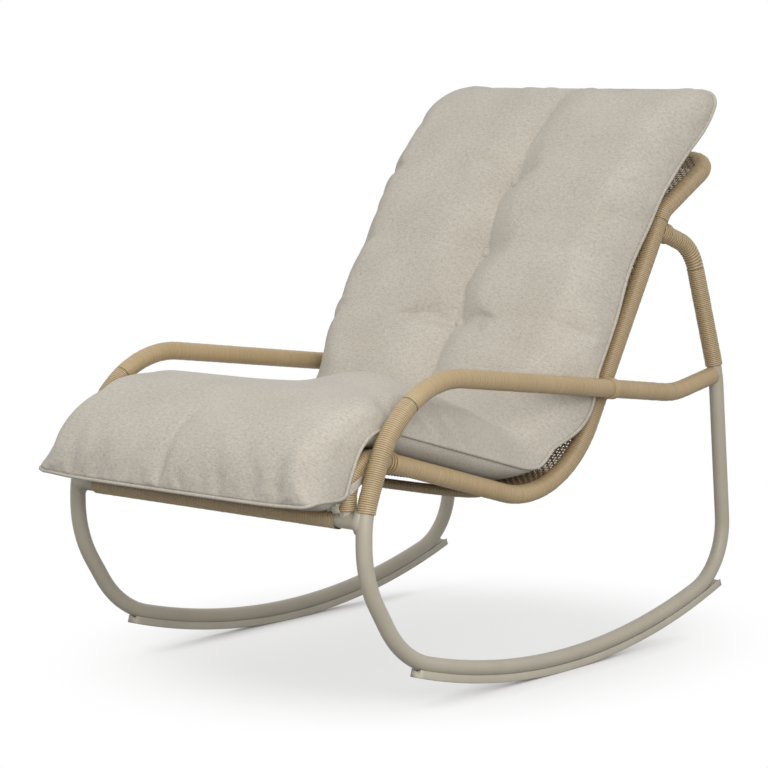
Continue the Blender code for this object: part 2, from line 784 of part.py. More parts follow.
class Cushion:
    """One long pad: two skins that meet in a seam, with a hump, a fold, a centre valley and tufts."""

    def __init__(self):
        self.path, nose, fold, neck = cushion_path()
        self.length = lengths(self.path)[-1]
        reach = (SEAT_BEND - CUSHION_BASE) * math.tan(math.radians(BACK_ANGLE + SEAT_SLOPE) / 2)
        seat_end = nearest_distance(self.path, fold - along(-SEAT_SLOPE) * reach)
        back = nearest_distance(self.path, fold + along(BACK_ANGLE) * (reach + BACK_SETBACK))
        self.nose = nearest_distance(self.path, nose)
        self.neck = nearest_distance(self.path, neck)
        self.hump = self.nose + HUMP_AFTER_NOSE
        self.fold = seat_end - FOLD_BEFORE_BEND
        self.tufts = [back + LOWEST_TUFT + i * TUFT_PITCH for i in range(3)]
        self.rolls = [
            (0, FRONT_ROLL),
            (self.nose + EDGE_ROLL, SIDE_ROLL),
            (seat_end, REAR_ROLL),
            (self.tufts[0], BACK_ROLL),
        ]
        self.crowns = [
            (self.nose / 2, FRONT_CROWN),
            (self.nose, NOSE_CROWN),
            (self.nose + EDGE_ROLL, SEAT_CROWN),
            (seat_end, SEAT_REAR_CROWN),
            (self.tufts[0] / 2 + self.tufts[1] / 2, BACK_CROWN),
            (self.length, TOP_CROWN),
        ]
        self.seams = [
            (0, FRONT_SEAM_HEIGHT),
            (FRONT_SEAM_RUN, NOSE_SEAM_HEIGHT),
            (self.nose, NOSE_SEAM_HEIGHT),
            (self.nose + EDGE_ROLL, SEAM_HEIGHT),
            (self.length - EDGE_ROLL, SEAM_HEIGHT),
            (self.length, TOP_SEAM_HEIGHT),
        ]

    def rows(self):
        """Rows at the path's corners, the hump, the fold and the tufts, closer together at both ends."""
        ends = [0, 0.006, 0.024, 0.055]
        rows = [*ends, *(self.length - d for d in ends)]
        rows += [self.fold + step * CREASE_WIDTH for step in (-1, 0, 1)]
        for tuft in self.tufts:
            rows += [tuft - TUFT_WIDTH, tuft, tuft + TUFT_WIDTH]
        least = 0.014
        between = [self.hump + step * HUMP_LENGTH / 2 for step in (0, -1, 1, -2)]
        between += stations(self.path, 0, self.length)
        rows += [d for d in between if all(abs(d - other) > least for other in rows)]
        return sorted(rows)

    def half_width(self, at):
        """Half width between the front and the top, with rounded corners."""
        growth = (CUSHION_TOP_OVERHANG - CUSHION_FRONT_OVERHANG) * at / self.length
        half = RAIL_X + CUSHION_FRONT_OVERHANG + growth
        for corner, room in ((CUSHION_FRONT_CORNER, at), (CUSHION_TOP_CORNER, self.length - at)):
            half -= corner * (1 - math.sqrt(1 - short_of(room, corner) ** 2))
        return half

    def bottom(self, at, x):
        """Height of the underside above the path, hollowed like the sling below it."""
        u = min(1, abs(x) / RAIL_X)
        inside = min(at - self.nose, self.neck - at)
        hollow = SLING_SAG * min(1, max(0, inside / EDGE_ROLL)) * (1 - u * u)
        return -hollow

    def crown(self, at, x):
        """Height of the top above the path, before the edges roll down."""
        height = eased(self.crowns, at)
        height += HUMP_RISE * bell(at - self.hump, HUMP_LENGTH) * bell(x, HUMP_HALF_WIDTH)
        fold = FOLD_DEPTH * bell(at - self.fold, FOLD_WIDTH)
        crease = CREASE_DEPTH * math.exp(-abs(at - self.fold) / CREASE_WIDTH)
        height -= (fold + crease) * bell(x, FOLD_HALF_WIDTH)
        back = min(1, max(0, (at - self.fold) / LOWEST_TUFT))
        height -= CENTRE_VALLEY_DEPTH * back * bell(x, CENTRE_VALLEY_WIDTH)
        for tuft in self.tufts:
            height -= TUFT_DEPTH * bell(math.hypot(x, at - tuft), TUFT_WIDTH)
        return height

    def upper_puff(self, at, inset):
        """Share of the crown's height at a distance in from the side: 0 on the seam, 1 inside the rolls."""
        sides = short_of(inset, eased(self.rolls, at))
        ends = max(short_of(at, FRONT_ROLL), short_of(self.length - at, TOP_ROLL))
        return math.sqrt(max(0, 1 - (sides**6 + ends**6) ** (1 / 3)))

    def point(self, at, u, upper):
        """Point of the upper or lower skin, at a distance along and a share of the half width."""
        half = self.half_width(at)
        x = u * half
        inset = half - abs(x)
        seam = eased(self.seams, at)
        if upper:
            rise = (self.crown(at, x) - seam) * self.upper_puff(at, inset)
        else:
            rise = (self.bottom(at, x) - seam) * dome(inset) * dome(at) * dome(self.length - at)
        return raised(self.path, at, seam + rise) + Vector((x, 0, 0))

    def build(self):
        rows = self.rows()
        columns = CUSHION_COLUMNS
        top = sheet_mesh("cushion", rows, columns, lambda at, u: self.point(at, u, True))
        under = sheet_mesh("cushion_under", rows, columns, lambda at, u: self.point(at, u, False))
        work = bmesh.new()
        work.from_mesh(top)
        work.from_mesh(under)
        bmesh.ops.remove_doubles(work, verts=work.verts, dist=1e-6)
        bmesh.ops.recalc_face_normals(work, faces=work.faces)
        work.to_mesh(top)
        work.free()
        bpy.data.meshes.remove(under)
        smooth(top)
        part = add("cushion", top, "cushion_fabric")
        for i, tuft in enumerate(self.tufts):
            boolean(part, self.build_button(i + 1, tuft))
        return part

    def build_button(self, number, tuft):
        """Covered button pressed into a tuft, and the cutter of its pocket."""
        seat = self.point(tuft, 0, True)
        normal = normal_of(point_at(self.path, tuft)[1])
        name = f"tuft_button_{number}"
        add(name, button_mesh(name, seat, normal, 0), "cushion_fabric")
        name += "_cutter"
        return add_cutter(name, button_mesh(name, seat, normal, 2 * CLEARANCE))


def button_mesh(name, seat, normal, grow):
    """Flattened ball with its axis along a normal."""
    work = bmesh.new()
    bmesh.ops.create_uvsphere(work, u_segments=16, v_segments=8, radius=1)
    radius = BUTTON_DIAMETER / 2 + grow
    size = Matrix.Diagonal((radius, radius, BUTTON_THICKNESS / 2 + grow))
    turn = normal.to_track_quat("Z", "Y").to_matrix()
    bmesh.ops.transform(work, matrix=(turn @ size).to_4x4(), verts=work.verts)
    bmesh.ops.translate(work, vec=seat, verts=work.verts)
    mesh = bpy.data.meshes.new(name)
    work.to_mesh(mesh)
    work.free()
    smooth(mesh)
    return mesh


def build_tie(prefix, sign, cushion, sling):
    """Fabric strap round the rail's front end, knotted, with two tails, and room for it."""
    name = prefix + "_cushion_tie"
    rail = moved(rail_path(), sign * RAIL_X)
    inner = (WRAP_RADIUS + CLEARANCE) * FACET_REACH
    outer = inner + TIE_THICKNESS
    front = point_at(rail, TIE_HEIGHT_ABOVE_BAR)[0] + side(-outer, 0)
    grow = 2 * CLEARANCE
    room = ring_mesh(name + "_slit", rail, TIE_WIDTH + 2 * grow, outer * FACET_REACH)
    slit = add_cutter(name + "_slit", room)
    hollow = add_cutter(name + "_hollow", knot_mesh(name + "_hollow", front, grow))
    boolean(sling, slit)
    boolean(sling, hollow)
    boolean(cushion, slit)
    boolean(cushion, hollow)

    tie = add(name, ring_mesh(name, rail, TIE_WIDTH, outer), "cushion_fabric")
    pieces = [knot_mesh(name + "_knot", front, 0)]
    for i, lean in enumerate((-TIE_TAIL_SPREAD, TIE_TAIL_SPREAD)):
        down = Matrix.Rotation(math.radians(lean), 3, "Y") @ side(0, -1)
        pieces.append(strap_mesh(f"{name}_tail_{i + 1}", front, front + down * TIE_TAIL_LENGTH))
    for piece in pieces:
        boolean(tie, add_cutter(piece.name, piece), "UNION")
    boolean(tie, add_cutter(name + "_bore", ring_mesh(name + "_bore", rail, 3 * TIE_WIDTH, inner)))


def ring_mesh(name, rail, width, radius):
    """Short bar that follows the rail where the tie goes round it."""
    return tube_mesh(name, near(rail, TIE_HEIGHT_ABOVE_BAR, width / 2), radius)


def knot_mesh(name, centre, grow):
    mesh = bpy.data.meshes.new(name)
    work = bmesh.new()
    bmesh.ops.create_uvsphere(work, u_segments=12, v_segments=8, radius=TIE_KNOT_DIAMETER / 2 + grow)
    bmesh.ops.translate(work, vec=centre, verts=work.verts)
    work.to_mesh(mesh)
    work.free()
    return mesh


def strap_mesh(name, start, end):
    """Flat strap from start to end, its width across the chair."""
    mesh = bpy.data.meshes.new(name)
    work = bmesh.new()
    bmesh.ops.create_cube(work, size=1)
    run = end - start
    through = run.cross(Vector((1, 0, 0))).normalized()
    across = through.cross(run).normalized()
    frame = Matrix((across * TIE_WIDTH, through * TIE_THICKNESS, run)).transposed().to_4x4()
    bmesh.ops.transform(work, matrix=Matrix.Translation((start + end) / 2) @ frame, verts=work.verts)
    bmesh.ops.recalc_face_normals(work, faces=work.faces)
    work.to_mesh(mesh)
    work.free()
    return mesh


def build():
    bar_cutter = front_bar_cutter()
    arm_leg, rocker, rail = build_side("left", list, bar_cutter)
    build_side("right", mirrored, bar_cutter)
    seat_bar_cutter = build_bars(arm_leg, rail)
    build_sling_frame(rocker, bar_cutter, seat_bar_cutter)
    sling = build_sling()
    cushion = Cushion().build()
    for prefix, sign, flip in (("left", 1, list), ("right", -1, mirrored)):
        build_runner(prefix, sign)
        build_lashings(prefix, flip, sling)
        build_tie(prefix, sign, cushion, sling)


build()
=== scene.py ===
"""Looks of the outdoor rocking chair: painted tubes, wound strand, a woven sling and a padded cushion.

Lengths are metres and angles are degrees. The chair faces -Y and stands on Z = 0. In the side view, y is
measured from the rocking point, as in the part's construction, whose driving sizes are repeated here.
"""

import math

import bmesh
import bpy
import numpy as np
from mathutils import Matrix, Vector


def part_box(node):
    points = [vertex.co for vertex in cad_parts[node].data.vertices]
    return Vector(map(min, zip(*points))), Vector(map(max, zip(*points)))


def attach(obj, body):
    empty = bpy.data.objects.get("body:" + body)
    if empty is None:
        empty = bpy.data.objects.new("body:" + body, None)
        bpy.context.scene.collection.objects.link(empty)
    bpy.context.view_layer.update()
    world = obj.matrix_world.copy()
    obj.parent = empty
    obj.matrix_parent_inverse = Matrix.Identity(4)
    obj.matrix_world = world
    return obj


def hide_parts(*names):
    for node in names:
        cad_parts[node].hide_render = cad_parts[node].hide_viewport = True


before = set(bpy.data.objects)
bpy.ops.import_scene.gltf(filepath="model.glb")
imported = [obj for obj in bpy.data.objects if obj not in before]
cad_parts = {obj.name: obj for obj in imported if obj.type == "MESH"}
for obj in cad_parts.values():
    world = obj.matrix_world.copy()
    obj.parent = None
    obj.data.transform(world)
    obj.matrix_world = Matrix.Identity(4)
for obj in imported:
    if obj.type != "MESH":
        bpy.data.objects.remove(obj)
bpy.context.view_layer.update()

# Sizes of the part
TUBE_RADIUS = 0.0125
WRAP_RADIUS = 0.0150
FRAME_X = 0.306
RAIL_X = 0.2729
ROCKING_POINT = 0.0594
ROCKER_RADIUS = 1.337
RUNNER_BASE = 0.0100
RUNNER_WIDTH = 0.0185
RUNNER_STEP = 1.54
RUNNER_FRONT_ANGLE = -16.17
RUNNER_REAR_ANGLE = 19.25
LEG_FORWARD = 0.4885
LEG_RAKE = 33.0
KNEE_HEIGHT = 0.2176
FRONT_BAR_HEIGHT = 0.304
POST_BEND_HEIGHT = 0.312
POST_RAKE = 23.0
ARM_FRONT_HEIGHT = 0.5150
ARM_TAIL = 0.1285
ARM_TAIL_RISE = 9.5
UPRIGHT_BEHIND_BACK = 0.13435
ARM_JOINT_HEIGHT = 0.444
UPRIGHT_LEAN = 5.9
UPRIGHT_TOP_REACH = 0.104
UPRIGHT_TOP_DROP = 0.036
SEAT_FRONT_HEIGHT = 0.4069
SEAT_DEPTH = 0.5195
SEAT_SLOPE = 16.06
BACK_ANGLE = 59.2
BACK_LENGTH = 0.5450
HEAD_ANGLE = 29.0
HEAD_LENGTH = 0.1660
BACK_JOINT_DROP = 0.0340
KNEE_BEND = 0.180
FRONT_BEND = 0.170
REAR_BEND = 0.110
POST_BEND = 0.150
ARM_BEND = 0.190
TAIL_BEND = 0.200
UPRIGHT_BEND = 0.300
TOP_BEND = 0.060
RAIL_FRONT_BEND = 0.055
SEAT_BEND = 0.200
NECK_BEND = 0.040
HEAD_CORNER_BEND = 0.045
SLING_HEIGHT = 0.012
SLING_SAG = 0.006
RUNNER_CLEARANCE = 0.0003
RUNNER_EDGE = 0.0014
WELD_FILLET = 0.008
CUSHION_CLEARANCE = 0.0006

# Wound strand
STRAND_DIAMETER = 0.0030
STRAND_PITCH = 0.0032
# Groove depths also set how dark the painted shade in the gaps between turns is
STRAND_GROOVE = 0.0012
ARM_GROOVE = 0.0006
OPEN_PITCH = 0.0060
OPEN_GROOVE = 0.0021
OPEN_RUN = 0.036
TONE_SPREAD = 0.04
LIFT_SPREAD = 0.00012
SPLIT_GAP = 0.0012
POST_SPLIT_HEIGHT = 0.468
SEAT_BAR_RADIUS = 0.0085
WRAP_ROWS = 5
WRAP_SIDES = 22

# Lashings
LASHING_SINK = 0.0004
ARM_LASHING_TURNS = 4
ARM_LASHING_PITCH = 0.0034
SEAT_LASHING_TURNS = 3
SEAT_LASHING_PITCH = 0.0060
JOINT_LASHING_TURNS = 3
JOINT_LASHING_PITCH = 0.0052
JOINT_LASHING_PLACE = 0.024
LASHING_SIDES = 8

# Woven sling
SLING_STRAND = 0.0023
SLING_STRAND_WIDTH = 0.0044
SLING_FLATNESS = 0.42
SLING_EDGE = 0.0095
SLING_TONE = 0.6
# Painted shade for the sling's strands, as shares of the wicker's dark gap colour on their top, one edge,
# underside and other edge: the whole sling darker, most of all underneath
SLING_PAINTED_SHADE = (0.40, 0.58, 0.68, 0.58)
WEFT_PITCH = 0.0070
WARP_PITCH = 0.0064

# Cushion
CUSHION_FRONT_OVERHANG = 0.0101
CUSHION_TOP_OVERHANG = 0.0231
CUSHION_FRONT_CORNER = 0.014
CUSHION_LEFT_TOP_CORNER = 0.036
CUSHION_RIGHT_TOP_CORNER = 0.120
NOSE_LENGTH = 0.127
NOSE_DROOP = 65.0
CUSHION_TOP_LENGTH = 0.232
CUSHION_TOP_ANGLE = 44.0
FRONT_SEAM_HEIGHT = 0.070
FRONT_SEAM_RUN = 0.045
NOSE_SEAM_HEIGHT = 0.002
NOSE_SEAM_RUN = 0.042
SEAM_HEIGHT = 0.030
CORNER_SEAM_HEIGHT = 0.027
BEND_SEAM_HEIGHT = 0.043
BEND_SEAM_SHARE = 0.4
BACK_SEAM_HEIGHT = 0.014
TOP_SEAM_HEIGHT = 0.042
FRONT_CROWN = 0.084
NOSE_CROWN = 0.061
SEAT_CROWN = 0.086
SEAT_REAR_CROWN = 0.104
FOLD_DEPTH = 0.022
FOLD_WIDTH = 0.060
FOLD_RIGHT_WIDTH = 0.180
FOLD_LEFT_WIDTH = 0.230
CREASE_LEFT_WIDTH = 0.100
FOLD_SWING = 0.080
FOLD_SWING_LEFT = 0.180
FOLD_BEFORE_BEND = 0.030
CREASE_DEPTH = 0.016
CREASE_WIDTH = 0.016
HUMP_RISE = 0.036
HUMP_LENGTH = 0.075
HUMP_RIGHT_WIDTH = 0.085
HUMP_LEFT_WIDTH = 0.110
HUMP_LEFT = 0.080
HUMP_AFTER_NOSE = 0.210
BACK_CROWN = 0.094
TOP_CROWN = 0.080
BACK_SETBACK = 0.016
EDGE_ROLL = 0.110
FRONT_ROLL = 0.042
SIDE_ROLL = 0.062
REAR_ROLL = 0.125
BACK_ROLL = 0.075
UNDER_ROLL = 0.120
BRIDGE_RISE = 0.020
BRIDGE_LENGTH = 0.090
TOP_ROLL = 0.105
CENTRE_VALLEY_DEPTH = 0.016
CENTRE_VALLEY_WIDTH = 0.036
CENTRE_CREASE_DEPTH = 0.009
CENTRE_CREASE_WIDTH = 0.009
ROW_VALLEY_DEPTH = 0.002
ROW_VALLEY_WIDTH = 0.018
EDGE_DENT = 0.010
EDGE_DENT_LENGTH = 0.070
RIGHT_BULGE = 0.007
RIGHT_BULGE_LENGTH = 0.085
RIGHT_BULGE_ABOVE_TUFT = 0.035
TUFT_DEPTH = 0.011
TUFT_WIDTH = 0.032
PINCH_DEPTH = 0.003
PINCH_WIDTH = 0.011
TUFT_PITCH = 0.135
LOWEST_TUFT = 0.108
BUTTON_DIAMETER = 0.019
BUTTON_THICKNESS = 0.009
BUTTON_LIFT = 0.0055
BUTTON_RIM = (-60, 88)
BUTTON_SIDES = 28
BUTTON_ROWS = 12
FRONT_PUCKERS = (-0.21, -0.02, 0.22)
FRONT_PUCKER_DEPTH = 0.005
FRONT_PUCKER_PLACE = 0.020
PUCKER_DEPTH = 0.004
PUCKER_WIDTH = 0.008
PUCKER_REACH = 0.045
PUCKER_SHARES = (0.2, 0.8)
PUCKER_SPACING = (0.04, 0.09)
CORNER_LIFT = 0.003
CORNER_LIFT_REACH = 0.045
FRONT_BULGE = 0.007
FRONT_BULGE_LENGTH = 0.07
TOP_BULGE = 0.011
TOP_BULGE_BELOW = 0.055
TOP_BULGE_LENGTH = 0.06
PIPING_RADIUS = 0.0028
PIPING_OUT = 0.0012
PIPING_STEP = 0.005
PIPING_SIDES = 12
CUSHION_ROWS = 160
CUSHION_COLUMNS = 74
SWELL_CAP = 0.007
SWELL_FRAMES = 20
SWELL = {
    "quality": 5,
    "mass": 0.3,
    "tension_stiffness": 15,
    "compression_stiffness": 15,
    "shear_stiffness": 5,
    "bending_stiffness": 0.4,
    "use_pressure": True,
    "uniform_pressure_force": 4,
    "shrink_min": -0.025,
}

# Ties
TIE_WIDTH = 0.012
TIE_THICKNESS = 0.0018
TIE_HEIGHT_ABOVE_BAR = 0.044
TIE_TILT = 0.016
TIE_TAIL = 0.016
TIE_FACING = (0.65, -0.76, 0.0)
TAIL_LEANS = (-38, 8)
TAIL_BOW = 0.004
KNOT_LEANS = (-35, 35)
KNOT_STRAP_RADIUS = 0.0026
KNOT_DEPTH = 0.0036
KNOT_HEIGHT = 0.0046
KNOT_SIDES = 12
KNOT_OUT = 0.75
KNOT_ASIDE = 0.85

# Photograph's camera
CAMERA_PLACE = (2.8686, -3.3603, 0.9730)
CAMERA_TILT = 83.2
CAMERA_TURN = 40.73
CAMERA_LENS = 126.4

# Fineness of the meshes
BEND_STEP = 3.0
ROCKER_STEP = 1.0
LEAST_STEP = 0.0005
SEARCH_STEPS = 4000
TUBE_SIDES = 36
RUNNER_ROWS = 90
HELIX_POINTS = 40

SIDES = (("left", 1), ("right", -1))
ACROSS = np.array((1.0, 0.0, 0.0))


# Side view of the chair, as the part builds it
def side(y, z):
    return Vector((0, y, z))


def along(angle):
    return side(math.cos(math.radians(angle)), math.sin(math.radians(angle)))


def bent_path(corners, radii):
    """Centreline through corners, rounded to the radii as far as the legs allow."""
    halves = [(a - b).angle(c - b) / 2 for a, b, c in zip(corners, corners[1:], corners[2:])]
    wanted = [0, *(radius / math.tan(half) for radius, half in zip(radii, halves)), 0]
    legs = zip(corners, corners[1:], wanted, wanted[1:])
    fits = [min(1, 0.98 * (b - a).length / max(start + end, 1e-9)) for a, b, start, end in legs]
    points = [corners[0].copy()]
    for i, half in enumerate(halves):
        before, corner, after = corners[i : i + 3]
        inward, outward = (before - corner).normalized(), (after - corner).normalized()
        reach = wanted[i + 1] * min(fits[i], fits[i + 1])
        centre = corner + (inward + outward).normalized() * reach / math.cos(half)
        points += arc(centre, corner + inward * reach, corner + outward * reach)
    points.append(corners[-1].copy())
    return points


def arc(centre, start, end, step=BEND_STEP):
    """Points from start to end about a centre, the shorter way round."""
    a, b = start - centre, end - centre
    sweep = a.angle(b)
    steps = max(2, round(math.degrees(sweep) / step))
    return [centre + Matrix.Rotation(sweep * i / steps, 3, a.cross(b)) @ a for i in range(steps + 1)]


def bend_into_rocker(start, direction, inside, bend):
    """Arc from a straight leg into the rocker's circle: its centre and its ends on the leg and rocker."""
    base = start + inside * bend - ROCKER_CENTRE
    along_leg = base.dot(direction)
    room = along_leg**2 - base.length_squared + (TUBE_ARC_RADIUS - bend) ** 2
    distance = math.sqrt(room) - along_leg
    middle = start + inside * bend + direction * distance
    spoke = (middle - ROCKER_CENTRE).normalized() * TUBE_ARC_RADIUS
    return middle, start + direction * distance, ROCKER_CENTRE + spoke


def crossing(a, a_direction, b, b_direction):
    """Where two lines of the side view meet."""
    gap = b - a
    turn = a_direction.y * b_direction.z - a_direction.z * b_direction.y
    return a + a_direction * (gap.y * b_direction.z - gap.z * b_direction.y) / turn


def upwards(direction):
    """Side-view normal of a direction, towards the sitter."""
    return side(-direction.z, direction.y)


ROCKER_CENTRE = side(0, ROCKER_RADIUS * math.cos(math.radians(RUNNER_STEP / 2)))
TUBE_ARC_RADIUS = ROCKER_RADIUS - RUNNER_BASE - TUBE_RADIUS
FRONT_BAR = side(-LEG_FORWARD, FRONT_BAR_HEIGHT)
KNEE = side(-LEG_FORWARD, KNEE_HEIGHT)
POST_FOOT = side(-LEG_FORWARD, POST_BEND_HEIGHT)
ARM_RISE = ARM_FRONT_HEIGHT - POST_BEND_HEIGHT
ARM_FRONT = POST_FOOT + side(ARM_RISE * math.tan(math.radians(POST_RAKE)), ARM_RISE)
SEAT_FRONT = side(-LEG_FORWARD, SEAT_FRONT_HEIGHT)
SEAT_REAR = SEAT_FRONT + side(SEAT_DEPTH, -SEAT_DEPTH * math.tan(math.radians(SEAT_SLOPE)))
NECK = SEAT_REAR + along(BACK_ANGLE) * BACK_LENGTH
HEAD = NECK + along(HEAD_ANGLE) * HEAD_LENGTH
BACK_JOINT = NECK - along(BACK_ANGLE) * BACK_JOINT_DROP
UPRIGHT_TOP = BACK_JOINT + side(UPRIGHT_TOP_REACH, -UPRIGHT_TOP_DROP)
ARM_JOINT = side(BACK_JOINT.y + UPRIGHT_BEHIND_BACK, ARM_JOINT_HEIGHT)
ARM_REAR = ARM_JOINT - along(ARM_TAIL_RISE) * ARM_TAIL
CUSHION_BASE = WRAP_RADIUS + CUSHION_CLEARANCE


class Path:
    """A line of points with a frame at any distance along it, in the chair's own place."""

    def __init__(self, points, x=0.0):
        self.points = np.array([tuple(p) for p in points]) + (x, ROCKING_POINT, 0)
        self.measure()

    @classmethod
    def through(cls, points):
        """A path through points that are already in place."""
        path = cls.__new__(cls)
        path.points = np.asarray(points, float)
        path.measure()
        return path

    def measure(self):
        steps = np.diff(self.points, axis=0)
        self.at = np.concatenate(([0], np.cumsum(np.linalg.norm(steps, axis=1))))
        self.length = self.at[-1]
        directions = steps / np.linalg.norm(steps, axis=1)[:, None]
        ends = np.vstack((directions[:1], directions, directions[-1:]))
        self.tangents = unit(ends[:-1] + ends[1:])
        normal = np.cross(ACROSS, self.tangents[0])
        if np.linalg.norm(normal) < 0.5:
            normal = np.array((0.0, 0.0, 1.0))
        normals = []
        for tangent in self.tangents:
            normal = unit(normal - tangent * normal.dot(tangent))
            normals.append(normal)
        self.normals = np.array(normals)

    def on_side(self, sign):
        """The path itself on the left side, or its mirror image on the right."""
        return self if sign > 0 else Path.through(self.points * (-1, 1, 1))

    def part(self, start, end):
        """The stretch between two distances, with the points that lie inside it."""
        inner = self.at[(self.at > start + LEAST_STEP) & (self.at < end - LEAST_STEP)]
        return Path.through(self.place(np.concatenate(([start], inner, [end]))))

    def between(self, vectors, at):
        """Vectors that are given at the path's points, read at distances of any shape."""
        return np.stack([np.interp(at, self.at, axis) for axis in vectors.T], -1)

    def place(self, at):
        return self.between(self.points, at)

    def frame_at(self, at):
        """Points, tangents, normals and binormals at distances of any shape."""
        tangents = unit(self.between(self.tangents, at))
        normals = self.between(self.normals, at)
        normals = unit(normals - tangents * (normals * tangents).sum(-1, keepdims=True))
        return self.place(at), tangents, normals, np.cross(tangents, normals)

    def nearest(self, point):
        """Distance along the path to its place nearest a point."""
        at = np.linspace(0, self.length, SEARCH_STEPS)
        return at[np.linalg.norm(self.place(at) - np.asarray(point), axis=1).argmin()]

    def at_height(self, height):
        """Distance along the path to the first place where it comes down to a height."""
        at = np.linspace(0, self.length, SEARCH_STEPS)
        z = self.place(at)[:, 2]
        return at[np.flatnonzero((z[:-1] > height) & (z[1:] <= height))[0]]


def unit(vectors):
    return vectors / np.linalg.norm(vectors, axis=-1, keepdims=True)


def towards_sitter(tangents):
    """Normals of tangents that lie in the side view."""
    return np.stack((np.zeros_like(tangents[..., 0]), -tangents[..., 2], tangents[..., 1]), -1)


def together(*axes):
    """Arrays of numbers, spread to one shape, as one array of points."""
    return np.stack(np.broadcast_arrays(*axes), -1)


def placed(point, x=0.0):
    """A side-view point in the chair's own place."""
    return np.array((x, point.y + ROCKING_POINT, point.z))


def front_bend():
    return bend_into_rocker(KNEE, along(LEG_RAKE - 90), along(LEG_RAKE), FRONT_BEND)


def arm_and_leg():
    """Left arm from the upright forward, then down the post and the leg to the rocker's front bend."""
    corners = [ARM_JOINT, ARM_REAR, ARM_FRONT, POST_FOOT, KNEE, front_bend()[1]]
    return Path(bent_path(corners, [TAIL_BEND, ARM_BEND, POST_BEND, KNEE_BEND]), FRAME_X)


def rocker_and_upright():
    """Left rocker from its front bend to the rear, then up the upright and inward to the back rail."""
    front = front_bend()
    rear = bend_into_rocker(ARM_JOINT, along(UPRIGHT_LEAN - 90), along(UPRIGHT_LEAN + 180), REAR_BEND)
    low = arc(front[0], front[1], front[2])
    low += arc(ROCKER_CENTRE, front[2], rear[2], ROCKER_STEP)[1:]
    low += arc(rear[0], rear[2], rear[1])[1:]
    inward = Vector((RAIL_X - FRAME_X, 0, 0))
    corners = [low[-1], ARM_JOINT, UPRIGHT_TOP + inward, BACK_JOINT + inward]
    return Path(low[:-1] + bent_path(corners, [UPRIGHT_BEND, TOP_BEND]), FRAME_X)


RAIL_CORNERS = [FRONT_BAR, SEAT_FRONT, SEAT_REAR, NECK, HEAD]
RAIL_BENDS = [RAIL_FRONT_BEND, SEAT_BEND, NECK_BEND]


def rail_line():
    """Half of the sling frame in the middle plane, from the front bar to the top rail."""
    return Path(bent_path(RAIL_CORNERS, RAIL_BENDS))


def sling_frame():
    """The whole bent tube of the sling frame, from its left front end round the top to its right one."""
    left = [corner + Vector((RAIL_X, 0, 0)) for corner in RAIL_CORNERS]
    right = [corner - Vector((RAIL_X, 0, 0)) for corner in reversed(RAIL_CORNERS)]
    bends = RAIL_BENDS + [HEAD_CORNER_BEND]
    return Path(bent_path(left + right, bends + bends[::-1]))


# Materials
class Nodes:
    """The nodes of a material or of the world, added one by one."""

    def __init__(self, owner):
        owner.use_nodes = True
        self.tree = owner.node_tree

    def feed(self, socket, value):
        """Links another node's output to a socket, or sets the socket to a plain value."""
        if isinstance(value, bpy.types.NodeSocket):
            self.tree.links.new(value, socket)
        else:
            socket.default_value = value

    def node(self, kind, inputs=(), **settings):
        """A new node, whose inputs are given by name or by number."""
        node = self.tree.nodes.new(kind)
        for name, value in settings.items():
            setattr(node, name, value)
        for key, value in dict(inputs).items():
            self.feed(node.inputs[key], value)
        return node

    def math(self, operation, a, b):
        return self.node("ShaderNodeMath", {0: a, 1: b}, operation=operation).outputs["Value"]

    def vector_math(self, operation, a, b=(0, 0, 0)):
        return self.node("ShaderNodeVectorMath", {0: a, 1: b}, operation=operation).outputs

    def mix(self, factor, a, b):
        """A colour between two colours."""
        return self.node("ShaderNodeMix", {0: factor, 6: a, 7: b}, data_type="RGBA").outputs[2]

    def on_object(self):
        return self.node("ShaderNodeTexCoord").outputs["Object"]

    def seen_directly(self):
        """1 for rays that see the white background, also in a gloss, and 0 for rays that light things."""
        rays = self.node("ShaderNodeLightPath").outputs
        seen = self.math("MAXIMUM", rays["Is Camera Ray"], rays["Is Glossy Ray"])
        return self.math("MAXIMUM", seen, rays["Is Transmission Ray"])

    def show(self, output, share, first, second):
        """Sends a mix of two shaders to the output node."""
        mix = self.node("ShaderNodeMixShader", {0: share, 1: first.outputs[0], 2: second.outputs[0]})
        self.feed(self.tree.nodes[output].inputs["Surface"], mix.outputs[0])


